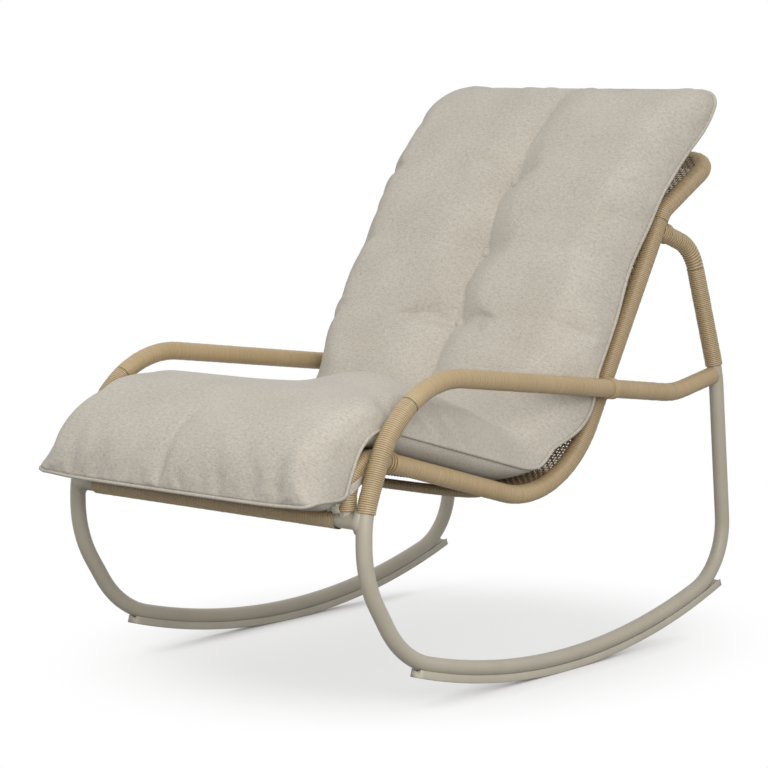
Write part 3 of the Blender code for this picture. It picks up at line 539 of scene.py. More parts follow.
class Shader(Nodes):
    """A Principled material."""

    def __init__(self, name, roughness, specular, sheen=0.0):
        self.material = bpy.data.materials.new(name)
        super().__init__(self.material)
        self.main = self.tree.nodes["Principled BSDF"]
        self.main.inputs["Roughness"].default_value = roughness
        self.main.inputs["Specular IOR Level"].default_value = specular
        self.main.inputs["Sheen Weight"].default_value = sheen

    def on_cloth(self, scale):
        """Places on the flat cloth, stretched by a scale."""
        uv = self.node("ShaderNodeUVMap", uv_map=FABRIC_MAP).outputs["UV"]
        return self.node("ShaderNodeMapping", {"Vector": uv, "Scale": scale}).outputs["Vector"]

    def noise(self, vector, scale=1.0, detail=2.0, roughness=0.5):
        inputs = {"Vector": vector, "Scale": scale, "Detail": detail, "Roughness": roughness}
        return self.node("ShaderNodeTexNoise", inputs).outputs["Fac"]

    def weighted(self, *parts):
        """Sum of values, each times its share."""
        total = self.math("MULTIPLY", *parts[0])
        for value, share in parts[1:]:
            total = self.math("ADD", total, self.math("MULTIPLY", value, share))
        return total

    def ramp(self, factor, *stops):
        """Colours from stop to stop (factor, colour)."""
        node = self.node("ShaderNodeValToRGB", {"Fac": factor})
        elements = node.color_ramp.elements
        while len(elements) < len(stops):
            elements.new(0.5)
        for element, (place, colour) in zip(elements, stops):
            element.position = place
            element.color = colour
        return node.outputs["Color"]

    def attribute(self, name):
        return self.node("ShaderNodeAttribute", attribute_name=name).outputs["Fac"]

    def colour(self, socket):
        self.feed(self.main.inputs["Base Color"], socket)

    def bump(self, height, strength, distance):
        inputs = {"Height": height, "Strength": strength, "Distance": distance}
        self.feed(self.main.inputs["Normal"], self.node("ShaderNodeBump", inputs).outputs["Normal"])


def linear(red, green, blue):
    """A colour given as a picture's 8-bit values."""
    shares = [value / 255 for value in (red, green, blue)]
    return (*(s / 12.92 if s <= 0.04045 else ((s + 0.055) / 1.055) ** 2.4 for s in shares), 1.0)


def paint_material(name, light, dark, roughness):
    """Powder coat: an even colour with faint clouding and a fine orange peel."""
    shader = Shader(name, roughness, specular=0.35)
    clouds = shader.noise(shader.on_object(), 14.0, 3.0)
    shader.colour(shader.ramp(clouds, (0.35, dark), (0.65, light)))
    shader.bump(shader.noise(shader.on_object(), 900.0, 1.0), 0.25, 0.0003)
    return shader.material


def wicker_material(name, light, dark, gap):
    """Plastic strand: each turn has its own tone and fine streaks, with shade painted into the gaps
    between turns as a dark colour.
    """
    shader = Shader(name, 0.42, specular=0.6)
    streaks = shader.noise(shader.on_object(), 420.0)
    clouds = shader.noise(shader.on_object(), 9.0)
    share = shader.weighted((shader.attribute("tone"), 0.55), (streaks, 0.18), (clouds, 0.35))
    strand = shader.ramp(share, (0.30, dark), (0.75, light))
    # Painted shade: the "groove" value mixes the dark gap colour into the grooves between turns, into the
    # sling and into the lashings
    shader.colour(shader.mix(shader.attribute("groove"), strand, gap))
    shader.bump(streaks, 0.1, 0.0003)
    return shader.material


FABRIC_MAP = "weave"


def fabric_material(name, light, middle, dark):
    """Slubby linen weave: short uneven threads both ways, with soft patches of warmer and cooler yarn."""
    shader = Shader(name, 0.95, specular=0.15, sheen=0.12)
    weft = shader.noise(shader.on_cloth((170, 430, 1)), roughness=0.6)
    warp = shader.noise(shader.on_cloth((480, 130, 1)), roughness=0.6)
    slubs = shader.noise(shader.on_cloth((90, 260, 1)), detail=1.0)
    patches = shader.noise(shader.on_cloth((9, 9, 1)), detail=3.0)
    threads = shader.weighted((weft, 0.5), (warp, 0.3), (slubs, 0.2))
    yarn = shader.ramp(threads, (0.34, dark), (0.5, middle), (0.66, light))
    shader.colour(shader.mix(0.35, yarn, shader.ramp(patches, (0.35, middle), (0.65, light))))
    shader.bump(threads, 0.5, 0.0012)
    return shader.material


MATERIALS = {
    "frame_paint": paint_material("frame_paint", linear(182, 175, 159), linear(176, 169, 153), 0.42),
    "runner_strip": paint_material("runner_strip", linear(190, 184, 169), linear(182, 176, 161), 0.6),
    # The wicker's last colour is painted shade, for the gaps between turns and for the sling
    "wicker": wicker_material("wicker", linear(194, 172, 135), linear(167, 143, 103), linear(64, 43, 15)),
    "cushion_fabric": fabric_material(
        "cushion_fabric", linear(201, 196, 186), linear(183, 177, 166), linear(151, 144, 131)
    ),
}


# Mesh tools
def add_piece(name, vertices, faces, slot, replaces=(), uv=None, **values):
    """A smooth mesh on the chair's one body, with its finish, its UV map and its values for each point."""
    mesh = bpy.data.meshes.new(name)
    mesh.from_pydata(np.reshape(vertices, (-1, 3)).tolist(), [], faces)
    mesh.shade_smooth()
    for key, value in values.items():
        attribute = mesh.attributes.new(key, "FLOAT", "POINT")
        attribute.data.foreach_set("value", np.ravel(value).astype(np.float32))
    if uv is not None:
        corners = np.zeros(len(mesh.loops), np.int32)
        mesh.loops.foreach_get("vertex_index", corners)
        layer = mesh.uv_layers.new(name=FABRIC_MAP)
        layer.data.foreach_set("uv", np.reshape(uv, (-1, 2))[corners].ravel().astype(np.float32))
    piece = bpy.data.objects.new(name, mesh)
    bpy.context.scene.collection.objects.link(piece)
    mesh.materials.append(MATERIALS[slot])
    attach(piece, "root")
    if replaces:
        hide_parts(*replaces)
    return piece


def grid_faces(rows, columns, close_rows=False, close_columns=False, first=0):
    """Quads of points that are numbered row by row."""
    r = np.arange(rows if close_rows else rows - 1)[:, None]
    c = np.arange(columns if close_columns else columns - 1)[None, :]
    below, right = (r + 1) % rows, (c + 1) % columns
    corners = (r * columns + c, r * columns + right, below * columns + right, below * columns + c)
    return (np.stack(corners, -1).reshape(-1, 4) + first).tolist()


def ring_points(path, radius, sides):
    """Rings of points round a path, one for each of its points."""
    around = np.linspace(0, 2 * math.pi, sides, endpoint=False)[None, :, None]
    binormals = np.cross(path.tangents, path.normals)[:, None, :]
    spokes = np.cos(around) * path.normals[:, None, :] + np.sin(around) * binormals
    return path.points[:, None, :] + np.broadcast_to(radius, len(path.points))[:, None, None] * spokes


def add_tube(name, path, radius, slot, replaces=(), sides=TUBE_SIDES, closed=False, **values):
    """Round bar along a path. The radius is a number, or one for each point."""
    rings = ring_points(path, radius, sides)
    rows = len(path.points)
    faces = grid_faces(rows, sides, True, True) if closed else sweep_faces(rows, sides)
    girth = np.linspace(0, 2 * math.pi * np.mean(radius), sides)
    uv = together(girth[None, :], path.at[:, None])
    points = {key: np.full(rings.shape[:2], value) for key, value in values.items()}
    add_piece(name, rings, faces, slot, replaces, uv, **points)


def sweep_faces(rows, columns):
    """Quads of a closed outline that is swept along rows, and its two end caps."""
    faces = grid_faces(rows, columns, close_columns=True)
    return faces + [list(range(columns))[::-1], list(range((rows - 1) * columns, rows * columns))]


# Wound strand
def strand_profile(phase):
    """Depth below the crown across one strand, as a share of the groove's depth."""
    places = [0, 0.1, 0.2, 0.4, 0.6, 0.8, 0.9, 1]
    return np.interp(phase % 1, places, [1, 0.6, 0.16, 0, 0, 0.16, 0.6, 1])


def add_wrap(
    name, path, start, end, replaces=(), seed=0,
    pitch=STRAND_PITCH, radius=WRAP_RADIUS, groove=STRAND_GROOVE,
):
    """Close-wound strand on a tube: one sleeve whose ridge runs round it as a helix, with shade painted
    into the groove between turns.
    """
    random = np.random.default_rng(seed)
    turns = (end - start) / pitch
    rows = math.ceil((turns + 1) * WRAP_ROWS) + 1
    around = np.arange(WRAP_SIDES) / WRAP_SIDES
    along_path = start + pitch * (np.arange(rows)[:, None] / WRAP_ROWS + around[None, :] - 1)
    along_path = np.clip(along_path, start, end)
    phase = (along_path - start) / pitch - around[None, :]
    depth = strand_profile(phase)
    turn = np.clip(np.floor(phase).astype(int) + 1, 0, None)
    tones = random.normal(0.5, TONE_SPREAD, turn.max() + 2)
    lifts = random.normal(0, LIFT_SPREAD, turn.max() + 2)
    places, _, normals, binormals = path.frame_at(along_path)
    angle = 2 * math.pi * around[None, :, None]
    reach = radius - groove * depth + lifts[turn] * (1 - depth)
    vertices = places + reach[:, :, None] * (np.cos(angle) * normals + np.sin(angle) * binormals)
    faces = wrap_faces(rows, WRAP_SIDES)
    # Painted shade: the gaps between turns are darkened with the groove's depth, more where the groove is
    # deeper
    gap = np.clip((depth * 1.15 - 0.15) * groove / STRAND_GROOVE, 0, 1)
    values = {"tone": np.clip(tones[turn], 0, 1), "groove": gap}
    merge_ends(add_piece(name, vertices, faces, "wicker", replaces, **values))


def wrap_faces(rows, sides):
    """Quads of a sleeve whose last column joins its first one turn further on."""
    inside = grid_faces(rows, sides)
    k = np.arange(rows - 1 - WRAP_ROWS)
    last = k * sides + sides - 1
    first = (k + WRAP_ROWS) * sides
    seam = np.stack((last, first, first + sides, last + sides), -1)
    return inside + seam.tolist()


def merge_ends(piece):
    """Takes out the rows that meet at a wrap's two ends."""
    work = bmesh.new()
    work.from_mesh(piece.data)
    bmesh.ops.remove_doubles(work, verts=work.verts, dist=1e-6)
    bmesh.ops.dissolve_degenerate(work, edges=work.edges, dist=1e-6)
    work.to_mesh(piece.data)
    work.free()


def helix(path, middle, radius, turns, pitch):
    """Line of strand wound round a tube, about a place on its path."""
    turn = np.linspace(-turns / 2, turns / 2, round(turns * HELIX_POINTS))
    places, _, normals, binormals = path.frame_at(middle + turn * pitch)
    angle = (2 * math.pi * turn)[:, None]
    return Path.through(places + radius * (np.cos(angle) * normals + np.sin(angle) * binormals))


def build_wraps():
    """Strand on the arms and posts, the uprights, the rails and the cross bars."""
    arm, rocker, rail = arm_and_leg(), rocker_and_upright(), sling_frame()
    foot = arm.at_height(FRONT_BAR_HEIGHT + TUBE_RADIUS)
    split = arm.at_height(POST_SPLIT_HEIGHT)
    above_arm = rocker.nearest(arm.points[0]) + WRAP_RADIUS
    bend = rocker.length - UPRIGHT_TOP_REACH - OPEN_RUN
    upright_end = rocker.length - WRAP_RADIUS / 2
    joint = rail.nearest(rocker.points[-1]) + WRAP_RADIUS
    corner = rail.length / 2 - RAIL_X + HEAD_CORNER_BEND + 2 * TUBE_RADIUS
    for i, (prefix, sign) in enumerate(SIDES):
        post, upright = arm.on_side(sign), rocker.on_side(sign)
        side_rail = rail if sign > 0 else Path.through(rail.points[::-1])
        node = [prefix + "_arm_wrap"]
        add_wrap(prefix + "_arm_strand", post, TUBE_RADIUS, split, node, 10 + i, groove=ARM_GROOVE)
        add_wrap(prefix + "_post_strand", post, split + SPLIT_GAP, foot, (), 15 + i)
        add_wrap(prefix + "_upright_strand", upright, above_arm, bend, [prefix + "_upright_wrap"], 20 + i)
        name = prefix + "_bend_strand"
        add_wrap(name, upright, bend, upright_end, (), 25 + i, OPEN_PITCH, groove=OPEN_GROOVE)
        add_wrap(prefix + "_rail_strand", side_rail, WRAP_RADIUS, joint, [prefix + "_rail_wrap"], 30 + i)
        add_wrap(prefix + "_head_strand", side_rail, joint + SPLIT_GAP, corner, (), 35 + i)
    add_wrap("top_rail_strand", rail, corner, rail.length - corner, ["top_rail_wrap"], 40)
    build_bar_wraps()


def build_bar_wraps():
    """Strand on the front cross bar, and on the bowed seat cross bar, whose ends rise to the rails."""
    inside = RAIL_X - WRAP_RADIUS
    front = Path.through([placed(FRONT_BAR, inside), placed(FRONT_BAR, -inside)])
    add_wrap("front_bar_strand", front, 0, front.length, ["front_bar_wrap"], 50)
    low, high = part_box("seat_bar_wrap")
    middle = (low + high) / 2
    lift = high.z - low.z - 2 * WRAP_RADIUS
    x = np.linspace(low.x, high.x, 25)
    u = x / x.max()
    height = low.z + WRAP_RADIUS + (u**2 * lift + u**8 * (WRAP_RADIUS - SEAT_BAR_RADIUS))
    bar = Path.through(together(x, middle.y, height))
    nodes = ["seat_bar_wrap", "seat_cross_bar"]
    add_wrap("seat_bar_strand", bar, 0, bar.length, nodes, 51, radius=SEAT_BAR_RADIUS)


# Painted frame
def build_frame():
    arm, rocker = arm_and_leg(), rocker_and_upright()
    leg = arm.part(arm.at_height(FRONT_BAR_HEIGHT + 3 * TUBE_RADIUS), arm.length)
    tube = Path.through(np.vstack((leg.points[:-1], rocker.points)))
    tube = tube.part(0, tube.length - TUBE_RADIUS)
    for prefix, sign in SIDES:
        node = [prefix + "_rocker_tube"]
        add_tube(prefix + "_rocker_frame", tube.on_side(sign), TUBE_RADIUS, "frame_paint", node)
        build_runner(prefix, sign)
    build_front_bar()
    for node in ("left_arm_tube", "right_arm_tube", "sling_frame_tube"):
        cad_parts[node].data.materials.clear()
        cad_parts[node].data.materials.append(MATERIALS["frame_paint"])


def build_front_bar():
    """Front cross bar, which swells above and below into a smooth weld on both legs."""
    leg = FRAME_X - TUBE_RADIUS
    plain = np.linspace(0, leg - WELD_FILLET, 8)
    weld = np.linspace(leg - WELD_FILLET, leg, 14)
    half = np.concatenate((plain, weld[1:], [FRAME_X]))
    x = np.concatenate((-half[:0:-1], half))
    near = 1 - np.clip((leg - np.abs(x)) / WELD_FILLET, 0, 1)
    fillet = WELD_FILLET * (1 - np.sqrt(1 - near**2))
    path = Path.through([placed(FRONT_BAR, value) for value in x])
    rings = ring_points(path, TUBE_RADIUS, TUBE_SIDES)
    rise = 1 + fillet / TUBE_RADIUS
    rings[..., 2] = FRONT_BAR.z + (rings[..., 2] - FRONT_BAR.z) * rise[:, None]
    add_piece("front_bar_frame", rings, sweep_faces(*rings.shape[:2]), "frame_paint", ["front_cross_bar"])


def build_runner(prefix, sign):
    """Runner strip with a groove for the tube and softened edges, swept along the rocker's arc."""
    half = RUNNER_WIDTH / 2
    deep = TUBE_RADIUS + RUNNER_BASE
    groove = TUBE_RADIUS + RUNNER_CLEARANCE
    lip = math.asin((half - RUNNER_EDGE / 2) / groove)
    outline = [(groove * math.sin(a), groove * math.cos(a)) for a in np.linspace(-lip, lip, 11)]
    outline.append((half, groove * math.cos(lip) + RUNNER_EDGE / 2))
    for corner in (1, -1):
        for a in np.linspace(0, 90, 5):
            turn = math.radians(a if corner > 0 else 90 - a)
            reach = half - RUNNER_EDGE + RUNNER_EDGE * math.cos(turn)
            outline.append((corner * reach, deep - RUNNER_EDGE + RUNNER_EDGE * math.sin(turn)))
    outline.append((-half, groove * math.cos(lip) + RUNNER_EDGE / 2))
    outline = np.array(outline)
    angles = np.radians(np.linspace(RUNNER_FRONT_ANGLE, RUNNER_REAR_ANGLE, RUNNER_ROWS))[:, None]
    reach = TUBE_ARC_RADIUS + outline[None, :, 1]
    x = sign * FRAME_X + sign * outline[None, :, 0]
    y = ROCKING_POINT + reach * np.sin(angles)
    z = ROCKER_CENTRE.z - reach * np.cos(angles)
    vertices = together(x, y, z)
    faces = sweep_faces(*vertices.shape[:2])
    if sign > 0:
        faces = [face[::-1] for face in faces]
    add_piece(prefix + "_runner_strip", vertices, faces, "runner_strip", [prefix + "_runner"])


# Woven sling
def build_sling():
    """Strands both ways, each passing over and under the others, from rail to rail."""
    rail = rail_line()
    rows = np.arange(WRAP_RADIUS, rail.length - WRAP_RADIUS / 2, WEFT_PITCH)
    half = RAIL_X - SLING_EDGE
    columns = np.linspace(-half, half, round(2 * half / WARP_PITCH) + 1)
    places, tangents, _, _ = rail.frame_at(rows)
    normals = towards_sitter(tangents)
    share = rows / rail.length
    sag = SLING_SAG * (1 - (2 * share[:, None] - 1) ** 8) * (1 - (columns[None, :] / RAIL_X) ** 2)
    over = np.where((np.arange(len(rows))[:, None] + np.arange(len(columns))[None, :]) % 2, 1, -1)
    base = places[:, None, :] + columns[None, :, None] * ACROSS
    base = base + normals[:, None, :] * (SLING_HEIGHT - sag)[:, :, None]
    step = normals[:, None, :] * (over * SLING_STRAND / 2)[:, :, None]
    add_strands("sling_weft", base + step, normals[:, None, :], tangents[:, None, :], ["woven_sling"])
    warp = (base - step).transpose(1, 0, 2)
    add_strands("sling_warp", warp, normals[None, :, :], np.broadcast_to(ACROSS, warp.shape), ())


def add_strands(name, lines, up, across, replaces):
    """Flattened strands along the rows of a grid of points."""
    angles = np.radians((0, 90, 180, 270))
    half = np.cos(angles)[:, None] * SLING_STRAND * SLING_FLATNESS
    wide = np.sin(angles)[:, None] * SLING_STRAND_WIDTH / 2
    vertices = lines[:, :, None, :] + up[:, :, None, :] * half + across[:, :, None, :] * wide
    count, points, sides, _ = vertices.shape
    faces = []
    for i in range(count):
        faces += grid_faces(points, sides, close_columns=True, first=i * points * sides)
    tone = np.random.default_rng(60).random((count, 1, 1)) * np.ones((count, points, sides))
    # Painted shade: the sling's strands are darkened towards the gap colour, most on their undersides
    groove = np.broadcast_to(np.array(SLING_PAINTED_SHADE), tone.shape)
    add_piece(name, vertices, faces, "wicker", replaces, tone=tone * SLING_TONE, groove=groove)


# Lashings
def build_lashings():
    """Turns of strand over the joints: arm to back rail, seat rail to leg, and upright to back rail."""
    arm, rail, rocker = arm_and_leg(), sling_frame(), rocker_and_upright()
    joint = rocker.length - JOINT_LASHING_PLACE
    lashings = (
        ("arm_lashing", arm, ARM_LASHING_TURNS, ARM_LASHING_PITCH),
        ("seat_lashing", rail, SEAT_LASHING_TURNS, SEAT_LASHING_PITCH),
    )
    for prefix, sign in SIDES:
        name = prefix + "_joint_lashing"
        add_lashing(name, rocker.on_side(sign), joint, JOINT_LASHING_TURNS, JOINT_LASHING_PITCH)
        for kind, line, turns, pitch in lashings:
            name = f"{prefix}_{kind}"
            path = line.on_side(sign)
            low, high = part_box(name)
            add_lashing(name, path, path.nearest((low + high) / 2), turns, pitch, [name])


def add_lashing(name, path, middle, turns, pitch, replaces=()):
    wound = helix(path, middle, WRAP_RADIUS + STRAND_DIAMETER / 2 - LASHING_SINK, turns, pitch)
    # Painted shade: the lashings get a tenth of the dark gap colour, evenly
    looks = {"tone": 0.5, "groove": 0.1}
    add_tube(name + "_strand", wound, STRAND_DIAMETER / 2, "wicker", replaces, LASHING_SIDES, **looks)


# Cushion
def eased(knots, at):
    """Height between knots (distance, height), level at each knot."""
    places, heights = np.array(knots).T
    i = np.clip(np.searchsorted(places, at) - 1, 0, len(places) - 2)
    t = np.clip((at - places[i]) / (places[i + 1] - places[i]), 0, 1)
    return heights[i] + (heights[i + 1] - heights[i]) * t * t * (3 - 2 * t)


def bell(distance, width):
    return np.exp(-((distance / width) ** 2))


def short_of(room, roll):
    """How far a place falls short of the full roll of a padded edge: 1 at the seam, 0 beyond the roll."""
    return 1 - np.clip(room / roll, 0, 1)


def crowded(start, end, count, spots):
    """Places from start to end that lie closer together near the spots (place, width, gain)."""
    fine = np.linspace(start, end, SEARCH_STEPS)
    density = 1 + sum(gain * bell(fine - spot, width) for spot, width, gain in spots)
    total = np.concatenate(([0], np.cumsum(density[1:] + density[:-1])))
    return np.interp(np.linspace(0, total[-1], count), total, fine)


def laid_flat(points):
    """Places of a grid of points on flat cloth: distance from the middle column and from the first row."""
    across = np.linalg.norm(np.diff(points, axis=1), axis=2)
    across = np.pad(np.cumsum(across, axis=1), ((0, 0), (1, 0)))
    middle = across[:, [points.shape[1] // 2]]
    along_rows = np.linalg.norm(np.diff(points, axis=0), axis=2).mean(axis=1)
    along_rows = np.pad(np.cumsum(along_rows), (1, 0))[:, None]
    return together(across - middle, along_rows)


class Cushion:
    """One long pad: two skins that meet in a piped seam, with a fold, a centre valley and tufts."""

    def __init__(self):
        seat, back = along(-SEAT_SLOPE), along(BACK_ANGLE)
        on_seat = SEAT_FRONT + upwards(seat) * CUSHION_BASE
        neck = NECK + upwards(back) * CUSHION_BASE
        nose_bend, fold_bend = RAIL_FRONT_BEND + CUSHION_BASE, SEAT_BEND - CUSHION_BASE
        rail_reach = RAIL_FRONT_BEND * math.tan(math.radians(90 + SEAT_SLOPE) / 2)
        nose_reach = nose_bend * math.tan(math.radians(NOSE_DROOP + SEAT_SLOPE) / 2)
        nose = on_seat + seat * (rail_reach - nose_reach)
        front = nose - along(NOSE_DROOP) * NOSE_LENGTH
        fold = crossing(on_seat, seat, neck, back)
        top = neck + along(CUSHION_TOP_ANGLE) * CUSHION_TOP_LENGTH
        self.path = Path(bent_path([front, nose, fold, neck, top], [nose_bend, fold_bend, fold_bend]))
        self.length = self.path.length
        reach = fold_bend * math.tan(math.radians(BACK_ANGLE + SEAT_SLOPE) / 2)
        seat_end = self.path.nearest(placed(fold - seat * reach))
        self.nose = self.path.nearest(placed(nose))
        self.neck = self.path.nearest(placed(neck))
        self.back = self.path.nearest(placed(fold + back * (reach + BACK_SETBACK)))
        self.fold = seat_end - FOLD_BEFORE_BEND
        self.tufts = [self.back + LOWEST_TUFT + i * TUFT_PITCH for i in range(3)]
        self.crowns = [
            (self.nose / 2, FRONT_CROWN),
            (self.nose, NOSE_CROWN),
            (self.nose + EDGE_ROLL, SEAT_CROWN),
            (seat_end, SEAT_REAR_CROWN),
            (self.tufts[0] / 2 + self.tufts[1] / 2, BACK_CROWN),
            (self.length, TOP_CROWN),
        ]
        self.rolls = [
            (0, FRONT_ROLL),
            (self.nose + EDGE_ROLL, SIDE_ROLL),
            (seat_end, REAR_ROLL),
            (self.tufts[0], BACK_ROLL),
        ]
        bend = self.path.nearest(placed(fold - seat * reach / 2))
        self.bridge = bend + reach / 2
        self.under_rolls = [
            (0, FRONT_ROLL),
            (bend - reach, FRONT_ROLL),
            (bend + reach / 2, UNDER_ROLL),
            (self.length, UNDER_ROLL),
        ]
        self.seams = [
            (0, FRONT_SEAM_HEIGHT),
            (FRONT_SEAM_RUN, NOSE_SEAM_HEIGHT),
            (self.nose - NOSE_SEAM_RUN, NOSE_SEAM_HEIGHT),
            (self.nose + NOSE_SEAM_RUN, SEAM_HEIGHT),
            (bend - reach / 2, SEAM_HEIGHT),
            (bend, CORNER_SEAM_HEIGHT),
            (bend + reach * BEND_SEAM_SHARE, BEND_SEAM_HEIGHT),
            (self.back, BACK_SEAM_HEIGHT),
            (self.back + reach * BEND_SEAM_SHARE, SEAM_HEIGHT),
            (self.length - EDGE_ROLL, SEAM_HEIGHT),
            (self.length, TOP_SEAM_HEIGHT),
        ]

    def half_width(self, at, u=1):
        """Half width at a distance along, on the left or on the right, whose top corner is rounder."""
        growth = (CUSHION_TOP_OVERHANG - CUSHION_FRONT_OVERHANG) * at / self.length
        width = RAIL_X + CUSHION_FRONT_OVERHANG + growth
        top_corner = np.where(u < 0, CUSHION_RIGHT_TOP_CORNER, CUSHION_LEFT_TOP_CORNER)
        for corner, room in ((CUSHION_FRONT_CORNER, at), (top_corner, self.length - at)):
            width = width - corner * (1 - np.sqrt(1 - short_of(room, corner) ** 2))
        dent = np.where(u > 0, EDGE_DENT, 0) * bell(at - self.tufts[1], EDGE_DENT_LENGTH)
        bulge_at = self.tufts[0] + RIGHT_BULGE_ABOVE_TUFT
        bulge = np.where(u < 0, RIGHT_BULGE, 0) * bell(at - bulge_at, RIGHT_BULGE_LENGTH)
        width = width - dent + bulge + FRONT_BULGE * bell(at, FRONT_BULGE_LENGTH)
        return width + TOP_BULGE * bell(self.length - TOP_BULGE_BELOW - at, TOP_BULGE_LENGTH)

    def bottom(self, at, x):
        """Height of the underside above the path: hollow like the sling, and clear of its bend."""
        u = np.minimum(1, np.abs(x) / RAIL_X)
        inside = np.minimum(at - self.nose, self.neck - at)
        hollow = SLING_SAG * np.clip(inside / EDGE_ROLL, 0, 1) * (1 - u * u)
        return BRIDGE_RISE * bell(at - self.bridge, BRIDGE_LENGTH) - hollow

    def crown(self, at, x):
        """Height of the top above the path, before the edges roll down."""
        height = eased(self.crowns, at)
        fold = self.fold + FOLD_SWING * np.clip(x / FOLD_SWING_LEFT, 0, 1) ** 2
        across = bell(x, np.where(x < 0, FOLD_RIGHT_WIDTH, FOLD_LEFT_WIDTH))
        height -= FOLD_DEPTH * bell(at - fold, FOLD_WIDTH) * across
        across = bell(x, np.where(x < 0, FOLD_RIGHT_WIDTH, CREASE_LEFT_WIDTH))
        height -= CREASE_DEPTH * np.exp(-np.abs(at - fold) / CREASE_WIDTH) * across
        hump = bell(x - HUMP_LEFT, np.where(x < HUMP_LEFT, HUMP_RIGHT_WIDTH, HUMP_LEFT_WIDTH))
        height += HUMP_RISE * hump * bell(at - self.nose - HUMP_AFTER_NOSE, HUMP_LENGTH)
        back = np.clip((at - self.fold) / LOWEST_TUFT, 0, 1)
        height -= CENTRE_VALLEY_DEPTH * back * bell(x, CENTRE_VALLEY_WIDTH)
        height -= CENTRE_CREASE_DEPTH * back * np.exp(-np.abs(x) / CENTRE_CREASE_WIDTH)
        for tuft in self.tufts:
            away = np.hypot(x, at - tuft)
            height -= ROW_VALLEY_DEPTH * bell(at - tuft, ROW_VALLEY_WIDTH)
            height -= TUFT_DEPTH * bell(away, TUFT_WIDTH) + PINCH_DEPTH * bell(away, PINCH_WIDTH)
        return height

    def pucker(self, at, x):
        """Short folds that run in from the seam, where the stitching gathers the cloth."""
        random = np.random.default_rng(5)
        depth = np.zeros_like(at)
        for place in FRONT_PUCKERS:
            near = bell(x - place, PUCKER_WIDTH) * bell(at - FRONT_PUCKER_PLACE, PUCKER_REACH)
            depth += FRONT_PUCKER_DEPTH * near
        for sign in (-1, 1):
            place = self.nose
            while place < self.length:
                edge = self.half_width(at, sign) - sign * x
                size = PUCKER_DEPTH * random.uniform(*PUCKER_SHARES)
                depth += size * bell(at - place, PUCKER_WIDTH) * bell(edge, PUCKER_REACH)
                place += random.uniform(*PUCKER_SPACING)
        return depth

    def puff(self, at, x, roll):
        """Share of the full height at a place: 0 on the seam, 1 inside the edges' rolls."""
        sides = short_of(self.half_width(at, x) - np.abs(x), roll)
        ends = np.maximum(short_of(at, FRONT_ROLL), short_of(self.length - at, TOP_ROLL))
        return np.sqrt(np.clip(1 - (sides**6 + ends**6) ** (1 / 3), 0, 1))

    def skin(self, at, u, upper):
        """Points of the upper or lower skin."""
        half = self.half_width(at, u)
        x = u * half
        seam = eased(self.seams, at)
        height = self.crown(at, x) if upper else self.bottom(at, x)
        roll = eased(self.rolls if upper else self.under_rolls, at)
        height = height - self.pucker(at, x) if upper else height
        height = seam + (height - seam) * self.puff(at, x, roll)
        places, tangents, _, _ = self.path.frame_at(at)
        normals = towards_sitter(tangents)
        points = places + normals * height[..., None] + x[..., None] * ACROSS
        points[..., 2] += CORNER_LIFT * bell(np.hypot(half - np.abs(x), at), CORNER_LIFT_REACH)
        return points

    def build(self):
        """The pad with its swelling, its piping and its buttons."""
        spots = [(0, 0.03, 3), (self.length, 0.03, 3), (self.fold, 0.03, 2)]
        spots += [(tuft, 0.025, 1) for tuft in self.tufts]
        rows = crowded(0, self.length, CUSHION_ROWS, spots)
        columns = crowded(-1, 1, CUSHION_COLUMNS, [(-1, 0.12, 3), (1, 0.12, 3), (0, 0.1, 1)])
        at, u = np.meshgrid(rows, columns, indexing="ij")
        top = self.skin(at, u, True)
        under = self.skin(at, u, False)
        flat = laid_flat(top)
        rows, columns = at.shape
        inner = np.zeros(at.shape, bool)
        inner[1:-1, 1:-1] = True
        numbers = np.arange(rows * columns).reshape(rows, columns)
        under_numbers = numbers.copy()
        under_numbers[inner] = rows * columns + np.arange(inner.sum())
        vertices = np.vstack((top.reshape(-1, 3), under[inner]))
        uv = np.vstack((flat.reshape(-1, 2), flat[inner]))
        quads = np.array(grid_faces(rows, columns))
        faces = quads.tolist() + under_numbers.ravel()[quads][:, ::-1].tolist()
        piece = add_piece("cushion_pad", vertices, faces, "cushion_fabric", ["cushion"], uv)
        held = self.held_points(at, u, inner, numbers, under_numbers)
        swell(piece, held)
        finer = piece.modifiers.new("finer", "SUBSURF")
        finer.levels = 1
        finer.render_levels = 1
        self.build_piping(piece, numbers)
        self.build_buttons()

    def held_points(self, at, u, inner, numbers, under_numbers):
        """Numbers of the points that the seam, the tufts and the sling hold."""
        x = u * self.half_width(at, u)
        tufted = np.zeros(at.shape, bool)
        for tuft in self.tufts:
            tufted |= np.hypot(x, at - tuft) < BUTTON_DIAMETER / 2
        return [int(i) for i in np.concatenate((numbers[~inner | tufted], under_numbers[inner]))]

    def build_piping(self, piece, numbers):
        """Fabric-covered cord all round the seam."""
        loop = np.concatenate((numbers[0, :-1], numbers[:-1, -1], numbers[-1, :0:-1], numbers[:0:-1, 0]))
        inside = np.concatenate((numbers[2, :-1], numbers[:-1, -3], numbers[-3, :0:-1], numbers[:0:-1, 2]))
        places = np.array([tuple(v.co) for v in piece.data.vertices])
        seam = places[loop]
        outward = unit(seam - places[inside])
        cord = seam + outward * PIPING_OUT
        line = Path.through(np.vstack((cord, cord[:1])))
        steps = round(line.length / PIPING_STEP)
        even = Path.through(line.place(np.linspace(0, line.length, steps, endpoint=False)))
        add_tube("cushion_piping", even, PIPING_RADIUS, "cushion_fabric", sides=PIPING_SIDES, closed=True)

